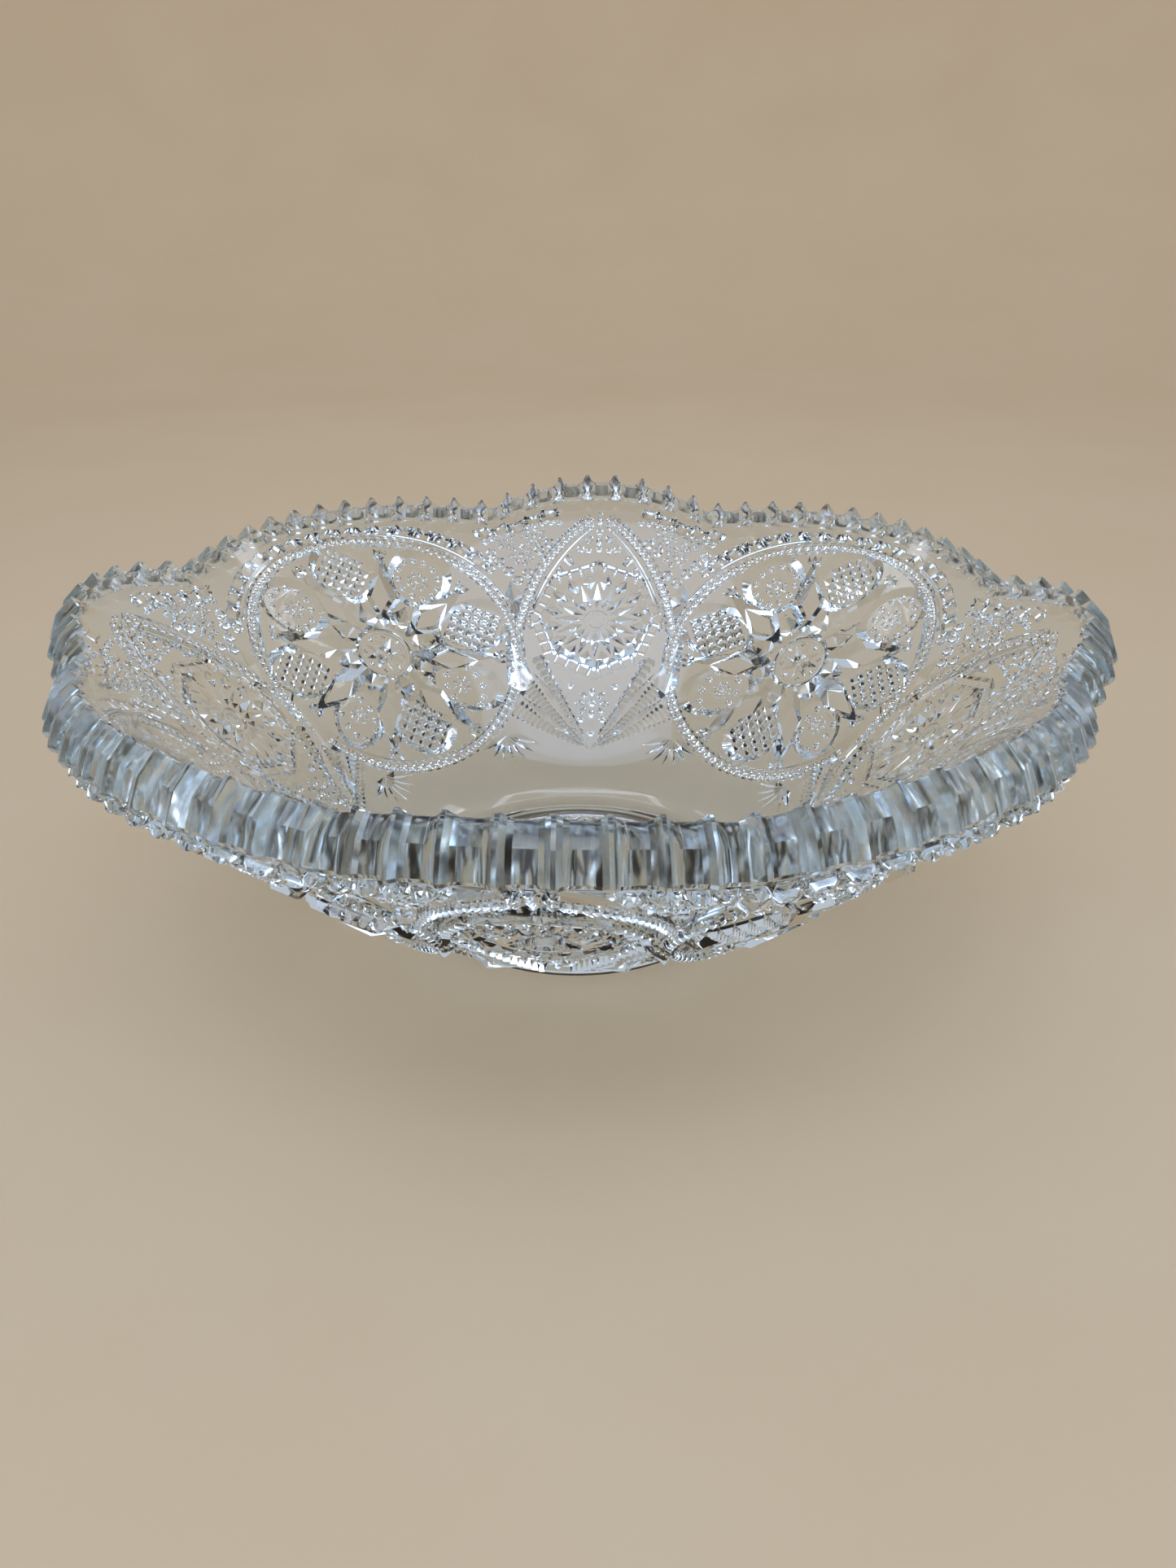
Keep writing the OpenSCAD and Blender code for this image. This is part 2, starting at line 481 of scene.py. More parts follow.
        # thicker glass needs the pattern a little higher; the sheet's upper end stays where it is
        held = 1 - np.clip(s / self.relief_top(azimuth), 0, 1) ** self.rise_power
        s = s + self.rise * (self.thickness(s, azimuth) - self.skin) * held
        return self.place(azimuth, s, self.thickness(s, azimuth) + flat[:, 2])


# ---------------------------------------------------------------------------------------------
# Stamps: small closed solids that raise the pattern
# ---------------------------------------------------------------------------------------------
class Shape(Enum):
    """The stamps. Each is one unit wide, long and high, and its root reaches into the sheet.

    A stamp is picked by its place in the alphabetical order of these names, hence their letters.
    """

    HOB = "a_hob"
    ROOF = "b_roof"
    LEAF = "c_leaf"
    BEAD = "d_bead"
    PILLOW = "e_pillow"
    BAR = "f_bar"
    DISC = "g_disc"
    GEM = "h_gem"
    KITE = "i_kite"
    SPUR = "j_spur"


# how far below the sheet's face a stamp reaches, as a part of its height
ROOT = -0.3


def unit_points(shape: Shape) -> list[Point3]:
    """Lists the corners of a stamp.

    Args:
        shape: which stamp.

    Returns:
        The corners of its convex solid.
    """
    def ring(count: int, radius: float, z: float) -> list[Point3]:
        """Points evenly round a circle."""
        return [(radius * math.cos(2 * math.pi * k / count), radius * math.sin(2 * math.pi * k / count), z)
                for k in range(count)]

    if shape is Shape.HOB:
        return ring(4, 0.5, ROOT) + ring(4, 0.5, 0) + ring(4, 0.17, 1)
    if shape is Shape.GEM:
        return ring(4, 0.5, ROOT) + ring(4, 0.5, 0) + [(0, 0, 1)]
    if shape is Shape.BEAD:
        return ring(6, 0.5, ROOT) + ring(6, 0.5, 0) + ring(6, 0.36, 0.65) + [(0, 0, 1)]
    if shape is Shape.DISC:
        return ring(28, 0.5, ROOT) + ring(28, 0.5, 0) + ring(28, 0.38, 1)
    if shape is Shape.KITE:
        base = [(0, -0.5), (0.5, -0.1), (0, 0.5), (-0.5, -0.1)]
        return [(x * k, y * k, z) for x, y in base for k, z in ((1, ROOT), (1, 0), (0.5, 1))]
    if shape is Shape.SPUR:
        base = [(0, -0.5), (0.5, -0.28), (0.2, 0.5), (-0.2, 0.5), (-0.5, -0.28)]
        return [(x, y, z) for x, y in base for z in (ROOT, 0)] + [(0, -0.36, 1), (0, 0.42, 0.55)]
    if shape is Shape.LEAF:
        base = [(0, -0.5), (0.5, -0.15), (0, 0.5), (-0.5, -0.15)]
        return [(x, y, z) for x, y in base for z in (ROOT, 0)] + [(0, -0.15, 1)]
    if shape is Shape.ROOF:
        base = [(0.5, 0.32), (0, 0.5), (-0.5, 0.32), (-0.5, -0.32), (0, -0.5), (0.5, -0.32)]
        return [(x, y, z) for x, y in base for z in (ROOT, 0)] + [(0, 0.3, 1), (0, -0.3, 1)]
    if shape is Shape.BAR:
        corners = [(sx, sy) for sx in (-1, 1) for sy in (-1, 1)]
        return ([(x / 2, y / 2, z) for x, y in corners for z in (ROOT, 0)]
                + [(0.26 * x, y / 2, 1) for x, y in corners])
    arch = [math.radians(a) for a in (0, 35, 65, 90, 115, 145, 180)]
    corners = [(x / 2, y / 2, ROOT) for x in (-1, 1) for y in (-1, 1)]
    return corners + [(math.cos(a) / 2, side * reach, math.sin(a) * rise)
                      for a in arch for side in (-1, 1) for reach, rise in ((0.5, 0.4), (0.33, 1.0))]


@dataclass(frozen=True)
class Stamp:
    """One stamp's place on the flat sheet."""

    shape: Shape
    x: float
    y: float
    turn: float
    width: float
    length: float
    height: float
    lift: float = 0.0


@dataclass
class Layout:
    """Collects stamps in a motif's own flat frame and turns them into the sheet's frame.

    The frame's origin is at (0, y) on a line that leaves the sector's tip at `tilt` degrees, and
    its +Y runs up the wall. A stamp's size is its width across, its length along and its height.
    """

    y: float
    tilt: float = 0.0
    stamps: list[Stamp] = field(default_factory=list)

    def add(self, shape: Shape, at: Point2, turn: float, size: Size3, lift: float = 0.0) -> None:
        """Adds one stamp.

        Args:
            shape: which stamp.
            at: its place beside the motif's middle line and up the wall from the motif's origin.
            turn: degrees clockwise from up the wall to the stamp's length.
            size: its width, length and height.
            lift: height of what it stands on.
        """
        x, y = turned(self.tilt, (at[0], self.y + at[1]))
        self.stamps.append(Stamp(shape, x, y, turn + self.tilt, *size, lift))

    def radial(self, shape: Shape, centre: Point2, radii: Point2, angles: Iterable[float], size: Size3,
               lift: float = 0.0) -> None:
        """Adds stamps round an ellipse, each pointing away from its centre.

        Args:
            shape: which stamp.
            centre: the ellipse's centre.
            radii: its half width and half height.
            angles: degrees clockwise from up the wall.
            size: the width, length and height of each.
            lift: height of what they stand on.
        """
        for angle in angles:
            self.add(shape, around(centre, radii, angle), angle, size, lift)

    def path(self, shape: Shape, start: Point2, end: Point2, pitch: float, widths: Point2,
             length: float, height: float, bare: float = 0.0) -> None:
        """Adds stamps along a straight line, lying across it.

        Args:
            shape: which stamp.
            start: where the line starts.
            end: where it ends.
            pitch: distance between stamps.
            widths: reach across the line at its start and at its end.
            length: size along the line.
            height: how far each stands out.
            bare: how much of the line is left bare at its start, as a fraction.
        """
        span = math.dist(start, end)
        filled = 1 - bare
        count = int(span * filled / pitch)
        for k in range(count):
            f = bare + filled * (k + 0.5) / count
            reach = widths[0] + (widths[1] - widths[0]) * f
            self.add(shape, between(start, end, f), heading(start, end) + 90, (length, reach, height))

    def lattice(self, shape: Shape, centre: Point2, half: Point2, turn: float, pitch: float,
                size: Size3, lift: float = 0.0,
                keep: Optional[Callable[[Point2], bool]] = None) -> None:
        """Fills an ellipse with a diamond lattice of stamps.

        Args:
            shape: which stamp.
            centre: the ellipse's centre.
            half: its half width and half length.
            turn: degrees clockwise from up the wall to its length.
            pitch: spacing of the rows.
            size: the width, length and height of each.
            lift: height of what they stand on.
            keep: tells whether a place in the motif's frame is used.
        """
        reach = int(max(half) / pitch * 1.5) + 1
        for i in range(-reach, reach + 1):
            for j in range(-reach, reach + 1):
                u, v = (i + j) * pitch / math.sqrt(2), (i - j) * pitch / math.sqrt(2)
                if (u / half[0]) ** 2 + (v / half[1]) ** 2 > 1:
                    continue
                dx, dy = turned(turn, (u, v))
                place = (centre[0] + dx, centre[1] + dy)
                if keep is None or keep(place):
                    self.add(shape, place, turn, size, lift)

    def flower(self, centre: Point2, radius: float, petals: int, height: float, lift: float = 0.0) -> None:
        """Adds a daisy: a centre bead with petals round it.

        Args:
            centre: the flower's centre.
            radius: its outside radius.
            petals: number of petals.
            height: how far it stands out.
            lift: height of what it stands on.
        """
        eye, middle = radius * 0.5, radius * 0.72
        wide, long = radius * 2.97 / petals, radius * 0.58
        self.add(Shape.BEAD, centre, 0, (eye, eye, height), lift)
        self.radial(Shape.BEAD, centre, (middle, middle), [k * 360 / petals for k in range(petals)],
                    (wide, long, height), lift)


@dataclass(frozen=True)
class Band:
    """A raised elliptical band on the flat sheet; its profile is base width, crown width and height."""

    centre: Point2
    half: Point2
    turn: float
    profile: Size3
    start: float = 0.0
    end: float = 360.0
    segments: int = 96
    root: float = 1.2

    def mesh(self, name: str) -> bpy.types.Mesh:
        """Builds the band as a closed solid.

        Args:
            name: the mesh's name.

        Returns:
            The band's mesh.
        """
        whole = self.end - self.start >= 360
        base, crown, height = self.profile
        section = ((-base / 2, -self.root), (-base / 2, 0), (-crown / 2, height),
                   (crown / 2, height), (base / 2, 0), (base / 2, -self.root))
        steps = self.segments if whole else self.segments + 1
        verts = []
        for k in range(steps):
            angle = self.start + (self.end - self.start) * k / self.segments
            for off, z in section:
                dx, dy = turned(self.turn, around((0, 0), (self.half[0] + off, self.half[1] + off), angle))
                verts.append((self.centre[0] + dx, self.centre[1] + dy, z))
        n = len(section)
        faces = [(k * n + j, k * n + (j + 1) % n, (k + 1) % steps * n + (j + 1) % n, (k + 1) % steps * n + j)
                 for k in range(self.segments) for j in range(n)]
        if not whole:
            faces += [tuple(range(n)), tuple(reversed(range((steps - 1) * n, steps * n)))]
        return outward_mesh(name, verts, faces)


# ---------------------------------------------------------------------------------------------
# The two motifs
# ---------------------------------------------------------------------------------------------
@dataclass
class StarMedallion:
    """A round medallion under a wide lobe: a star of blades and ovals inside a beaded ring."""

    wall: Wall
    # the beaded ring, the thin line outside it, and the row of blocks outside that
    ring_s: float = 68.6
    ring_half: Point2 = (47.0, 44.8)
    ring_profile: Size3 = (4.6, 3.0, 1.5)
    bead_pitch: float = 3.1
    bead: Size3 = (3.1, 3.1, 2.8)
    bead_lift: float = 1.3
    line_gap: float = 3.4
    line_profile: Size3 = (2.0, 0.5, 2.2)
    line_reach: float = 66.0
    block_gap: float = 6.4
    block_pitch: float = 8.3
    blocks_a_side: int = 8
    block: Size3 = (7.2, 4.8, 4.2)
    # the centre button with its star, and the points round it
    button_s: float = 67.3
    button_r: float = 9.4
    button_height: float = 3.6
    button_lift: float = 3.5
    button_flare: float = 1.5
    button_inset: float = 0.9
    button_ring: Size3 = (2.0, 0.7, 4.6)
    star_leaf: Size3 = (2.8, 6.6, 1.6)
    star_leaf_r: float = 3.9
    star_gem: Size3 = (2.0, 2.0, 1.3)
    star_gem_r: float = 6.6
    point: Size3 = (8.6, 10.6, 4.6)
    point_r: float = 14.9
    # the ovals on both sides of the middle line
    oval_angles: tuple[float, ...] = (0, 47, 92, 134, 180)
    oval_reach: tuple[float, ...] = (33, 34, 33.5, 29, 28.5)
    oval_size: tuple[Point2, ...] = ((25, 27), (22.5, 26), (20.5, 30), (18.5, 28), (22, 24))
    hob_ovals: tuple[float, ...] = (0, 92, 180)
    oval_height: float = 3.0
    oval_lift: float = 2.9
    hob_pitch: float = 3.3
    hob: Size3 = (4.5, 4.5, 2.2)
    spray_bead: Size3 = (2.5, 2.5, 1.5)
    spray_beads: int = 12
    petals: int = 8
    # shares of an oval: its lattice, its ring of beads, its flower, and the flower's way inward
    hob_share: float = 0.37
    spray_share: float = 0.31
    flower_share: float = 0.18
    flower_shift: float = 0.04
    # the blades between the ovals, with a small fan at the end of each
    blade_angles: tuple[float, ...] = (23.5, 69.5, 113, 157)
    blade_r: float = 24.5
    blade: Size3 = (13.0, 32.0, 5.2)
    fan_r: float = 36.2
    fan_spread: float = 24.0
    fan_leaf_r: float = 2.7
    fan_leaf: Size3 = (2.6, 6.2, 2.6)

    def layout(self) -> tuple[list[Stamp], list[Band]]:
        """Lays out the whole medallion.

        Returns:
            Its stamps and its bands, in the sheet's frame.
        """
        tilt = self.wall.half_pair * self.wall.opening
        lay = Layout(self.wall.start + self.button_s, tilt)
        self.border(lay)
        self.centre(lay)
        self.ovals(lay)
        self.blades(lay)
        ring = turned(tilt, (0, self.wall.start + self.ring_s))
        line_half = (self.ring_half[0] + self.line_gap, self.ring_half[1] + self.line_gap)
        button_half = (self.button_r - self.button_inset, self.button_r - self.button_inset)
        return lay.stamps, [
            Band(ring, self.ring_half, tilt, self.ring_profile),
            Band(ring, line_half, tilt, self.line_profile, -self.line_reach, self.line_reach, 64),
            Band(turned(tilt, (0, lay.y)), button_half, tilt, self.button_ring, segments=40)]

    def border(self, lay: Layout) -> None:
        """Adds the ring's beads and the blocks outside it."""
        centre = (0, self.ring_s - self.button_s)
        beads = round(math.pi * sum(self.ring_half) / self.bead_pitch / 2) * 2
        lay.radial(Shape.BEAD, centre, self.ring_half, [(k + 0.5) * 360 / beads for k in range(beads)],
                   self.bead, self.bead_lift)
        reach = (self.ring_half[0] + self.block_gap, self.ring_half[1] + self.block_gap)
        lay.radial(Shape.PILLOW, centre, reach,
                   [self.block_pitch * k for k in range(-self.blocks_a_side, self.blocks_a_side + 1)],
                   self.block)

    def centre(self, lay: Layout) -> None:
        """Adds the button with its small star, and the points round it."""
        base = 2 * (self.button_r + self.button_flare)
        lay.add(Shape.DISC, (0, 0), 0, (base, base, self.button_height))
        leaves = range(0, 360, 45)
        lay.radial(Shape.LEAF, (0, 0), (self.star_leaf_r, self.star_leaf_r), leaves, self.star_leaf,
                   self.button_lift)
        lay.radial(Shape.GEM, (0, 0), (self.star_gem_r, self.star_gem_r), [k + 22.5 for k in leaves],
                   self.star_gem, self.button_lift)
        lay.radial(Shape.LEAF, (0, 0), (self.point_r, self.point_r), both_sides(self.oval_angles), self.point)

    def ovals(self, lay: Layout) -> None:
        """Adds the ovals: lattices of hobs on the main axes, and flowers between them."""
        for middle, reach, (wide, long) in zip(self.oval_angles, self.oval_reach, self.oval_size):
            for angle in both_sides([middle]):
                centre = around((0, 0), (reach, reach), angle)
                lay.add(Shape.DISC, centre, angle, (wide, long, self.oval_height))
                if middle in self.hob_ovals:
                    lay.lattice(Shape.HOB, centre, (wide * self.hob_share, long * self.hob_share), angle,
                                self.hob_pitch, self.hob, self.oval_lift)
                else:
                    self.spray(lay, centre, angle, wide, long)

    def spray(self, lay: Layout, centre: Point2, angle: float, wide: float, long: float) -> None:
        """Fills an oval with a flower inside a ring of beads.

        Args:
            lay: the medallion's layout.
            centre: the oval's centre.
            angle: degrees clockwise from up the wall to the oval's length.
            wide: the oval's width.
            long: the oval's length.
        """
        shift = turned(angle, (0, -long * self.flower_shift))
        lay.flower((centre[0] + shift[0], centre[1] + shift[1]), wide * self.flower_share, self.petals,
                   self.spray_bead[2], self.oval_lift)
        step = 360 / self.spray_beads
        lay.radial(Shape.BEAD, centre, (wide * self.spray_share, long * self.spray_share),
                   [angle + k * step for k in range(self.spray_beads)], self.spray_bead, self.oval_lift)

    def blades(self, lay: Layout) -> None:
        """Adds the long blades between the ovals and the small fans at their ends."""
        for angle in both_sides(self.blade_angles):
            lay.radial(Shape.KITE, (0, 0), (self.blade_r, self.blade_r), [angle], self.blade)
            tip = around((0, 0), (self.fan_r, self.fan_r), angle)
            for side in (angle - self.fan_spread, angle, angle + self.fan_spread):
                lay.add(Shape.LEAF, around(tip, (self.fan_leaf_r, self.fan_leaf_r), side), side + 180,
                        self.fan_leaf)


@dataclass(frozen=True)
class Ray:
    """A ribbed ray: its end, its ribs' spacing, reach at both ends, length and height, and its bare part."""

    end: Point2
    pitch: float
    widths: Point2
    length: float
    height: float
    bare: float


@dataclass
class ArchPanel:
    """A pointed arch under a narrow lobe: a rosette over ribbed rays, with beaded sides."""

    wall: Wall
    # the rosette: an eight-sided notched frame round petals and gems
    rosette_s: float = 71.2
    rosette_r: float = 20.5
    rosette_flare: float = 2.0
    rosette_height: float = 2.8
    rosette_lift: float = 2.7
    frame_bar: Point2 = (4.4, 3.5)
    frame_out: float = 0.6
    frame_overlap: float = 2.0
    frame_block: Size3 = (3.0, 2.2, 4.5)
    blocks_a_side: int = 5
    rays: int = 16
    petal_r: float = 9.9
    petal: Size3 = (3.3, 10.5, 1.8)
    gem_radii: Point2 = (14.9, 15.3)
    gem: Size3 = (4.6, 6.6, 2.0)
    eye_r: float = 3.4
    eye_ring: Size3 = (3.0, 1.2, 4.9)
    # the arch's curved sides: a beaded band with a thin line inside it
    arc_centre: Point2 = (-50.9, -12.3)
    arc_r: float = 77.4
    arc_band: Size3 = (4.2, 2.6, 1.8)
    arc_span: Point2 = (44.5, 85.5)
    line_gap: float = 3.8
    line_profile: Size3 = (2.4, 0.6, 2.8)
    line_span: Point2 = (47.5, 84.0)
    bead_pitch: float = 3.0
    bead: Size3 = (3.1, 3.1, 2.4)
    bead_lift: float = 1.6
    bead_from: float = 45.5
    bead_span: float = 40.0
    # flowers on the middle line, as place, radius and height, with single beads round them
    petals: int = 8
    crest_flower: Size3 = (36.0, 6.6, 2.6)
    crest_beads: tuple[Point2, ...] = ((0.0, 28.2), (3.6, 27.6), (4.4, 43.2), (0.0, 44.6))
    crest_bead: Size3 = (2.6, 2.6, 1.9)
    low_flower: Size3 = (-33.0, 5.8, 2.3)
    low_beads: tuple[Point2, ...] = ((7.5, -26.6), (3.5, -39.2), (0.0, -44.4))
    low_bead: Size3 = (2.6, 2.6, 2.0)
    # the drops beside the upper flower, as place, turn and length
    drops: tuple[tuple[Point2, float, float], ...] = (
        ((10.8, 23.5), 35, 6.325), ((6.6, 28.2), 50, 3.91), ((13.6, 18.6), 25, 3.91))
    drop_width: float = 3.2
    drop_height: float = 2.6
    # the ribbed rays and the clear mitres between them
    root_s: float = 20.5
    ribbed: tuple[Ray, ...] = (
        Ray((19.5, -16.2), 2.6, (2.6, 4.8), 2.5, 2.8, 0.16),
        Ray((22.4, -27.2), 1.7, (0.6, 6.6), 1.75, 2.2, 0.12),
        Ray((25.2, -36.6), 1.7, (0.6, 7.6), 1.75, 2.2, 0.12))
    mitre_share: float = 0.98
    mitre_width: float = 4.0
    mitre_height: float = 4.2
    # the corner between the arch and the medallion
    pillar_at: Point2 = (26.0, -20.5)
    pillar_turn: float = 15.0
    pillar: Size3 = (9.0, 24.0, 5.0)
    upper_pillar_at: Point2 = (28.0, 3.0)
    upper_pillar_turn: float = 195.0
    upper_pillar: Size3 = (7.5, 20.0, 4.4)
    border_centre: Point2 = (12.0, -1.6)
    border_r: float = 47.2
    block: Size3 = (6.6, 4.8, 3.4)
    border_bead: Size3 = (2.8, 2.8, 1.7)
    border_bead_in: float = 5.6
    # its flowers, as place and the radius that is theirs, and the lattice of beads round them
    corner_flowers: tuple[Size3, ...] = ((23.5, 33.0, 3.4), (27.5, 24.0, 3.4), (33.5, 30.0, 3.0))
    corner_petals: int = 7
    corner_growth: float = 1.4
    corner_height: float = 2.4
    corner_centre: Point2 = (28.0, 20.0)
    corner_half: Point2 = (26.0, 30.0)
    corner_pitch: float = 4.8
    corner_bead: Size3 = (4.2, 4.2, 2.0)
    # how far the lattice keeps from the arch, the border, the flowers and the medallion
    arch_gap: float = 3.2
    border_gap: float = 9.0
    flower_gap: float = 1.3
    medallion_s: float = 68.2
    medallion_r: float = 52.5
    # the burst of leaves by the foot
    fan_azimuth: float = 23.7
    fan_s: float = 28.0
    fan_r: float = 5.6
    fan_spread: float = 21.0
    fan_leaf: Size3 = (3.4, 10.0, 1.35)

    def layout(self) -> tuple[list[Stamp], list[Band]]:
        """Lays out the panel's own half and its middle line.

        Returns:
            Its stamps and its bands, in the sheet's frame.
        """
        lay = Layout(self.wall.start + self.rosette_s)
        self.rosette(lay)
        self.sides(lay)
        self.crest(lay)
        self.lower(lay)
        self.spandrel(lay)
        self.fan(lay)
        arc = (self.arc_centre[0], lay.y + self.arc_centre[1])
        line_r = self.arc_r - self.line_gap
        return lay.stamps, [
            Band((0, lay.y), (self.eye_r, self.eye_r), 0, self.eye_ring, segments=24),
            Band(arc, (self.arc_r, self.arc_r), 0, self.arc_band, *self.arc_span, segments=40),
            Band(arc, (line_r, line_r), 0, self.line_profile, *self.line_span, segments=40)]

    def rosette(self, lay: Layout) -> None:
        """Adds the eight-sided frame and its rings of petals and gems."""
        wide = 2 * self.rosette_r
        lay.add(Shape.DISC, (0, 0), 0, (wide, wide + self.rosette_flare, self.rosette_height))
        side = wide * math.tan(math.pi / 8)
        thick, height = self.frame_bar
        across, along, tall = self.frame_block
        corners = [turned(45 * k, (0, self.rosette_r + self.frame_out)) for k in range(9)]
        for near, far in zip(corners, corners[1:]):
            lay.add(Shape.BAR, between(near, far, 0.5), heading(near, far),
                    (thick, side + self.frame_overlap, height))
            lay.path(Shape.PILLOW, near, far, side / self.blocks_a_side, (across, across), along, tall)
        step = 360 / self.rays
        turns = [k * step for k in range(self.rays)]
        lay.radial(Shape.LEAF, (0, 0), (self.petal_r, self.petal_r), turns, self.petal, self.rosette_lift)
        lay.radial(Shape.GEM, (0, 0), self.gem_radii, [a + step / 2 for a in turns], self.gem,
                   self.rosette_lift)

    def sides(self, lay: Layout) -> None:
        """Adds the beads along the arch's curved sides."""
        count = int(math.radians(self.bead_span) * self.arc_r / self.bead_pitch)
        lay.radial(Shape.BEAD, self.arc_centre, (self.arc_r, self.arc_r),
                   [self.bead_from + self.bead_span * k / count for k in range(count)],
                   self.bead, self.bead_lift)

    def crest(self, lay: Layout) -> None:
        """Adds the flower under the arch's point and the drops beside it."""
        y, radius, height = self.crest_flower
        lay.flower((0, y), radius, self.petals, height)
        for at, turn, long in self.drops:
            lay.add(Shape.BEAD, at, turn, (self.drop_width, long, self.drop_height))
        for at in self.crest_beads:
            lay.add(Shape.BEAD, at, 0, self.crest_bead)

    def lower(self, lay: Layout) -> None:
        """Adds the ribbed rays, the clear mitres between them, and the lower flower."""
        y, radius, height = self.low_flower
        lay.flower((0, y), radius, self.petals, height)
        for at in self.low_beads:
            lay.add(Shape.BEAD, at, 0, self.low_bead)
        root = (0.0, self.root_s - self.rosette_s)
        for ray in self.ribbed:
            lay.path(Shape.ROOF, root, ray.end, ray.pitch, ray.widths, ray.length, ray.height, ray.bare)
        for one, other in zip(self.ribbed, self.ribbed[1:]):
            end = between(one.end, other.end, 0.5)
            lay.add(Shape.LEAF, between(root, end, 0.5), heading(root, end) + 180,
                    (self.mitre_width, math.dist(root, end) * self.mitre_share, self.mitre_height))

    def spandrel(self, lay: Layout) -> None:
        """Adds the pillars, beads, flowers and border blocks between the arch and the medallion."""
        lay.add(Shape.SPUR, self.pillar_at, self.pillar_turn, self.pillar)
        lay.add(Shape.LEAF, self.upper_pillar_at, self.upper_pillar_turn, self.upper_pillar)
        lay.radial(Shape.PILLOW, self.border_centre, (self.border_r, self.border_r), range(8, 41, 8),
                   self.block)
        for x, y, radius in self.corner_flowers:
            lay.flower((x, y), radius * self.corner_growth, self.corner_petals, self.corner_height)
        medallion = turned(self.wall.half_pair * self.wall.opening, (0, self.wall.start + self.medallion_s))

        def clear(place: Point2) -> bool:
            """Keeps the beads clear of the arch, the border, the medallion and the flowers."""
            return (math.dist(place, self.arc_centre) > self.arc_r + self.arch_gap
                    and math.dist(place, self.border_centre) < self.border_r - self.border_gap
                    and math.dist((place[0], place[1] + lay.y), medallion) > self.medallion_r
                    and all(math.dist(place, (x, y)) > radius + self.flower_gap
                            for x, y, radius in self.corner_flowers))

        lay.lattice(Shape.BEAD, self.corner_centre, self.corner_half, 0, self.corner_pitch,
                    self.corner_bead, keep=clear)
        inner_r = self.border_r - self.border_bead_in
        lay.radial(Shape.BEAD, self.border_centre, (inner_r, inner_r), range(4, 45, 4), self.border_bead)

    def fan(self, lay: Layout) -> None:
        """Adds the burst of leaves by the foot, half way to the medallion."""
        turn = self.fan_azimuth * self.wall.opening
        x, y = turned(turn, (0, self.wall.start + self.fan_s))
        lay.radial(Shape.LEAF, (x, y - lay.y), (self.fan_r, self.fan_r),
                   [turn + 180 + k * self.fan_spread for k in range(-3, 4)], self.fan_leaf)


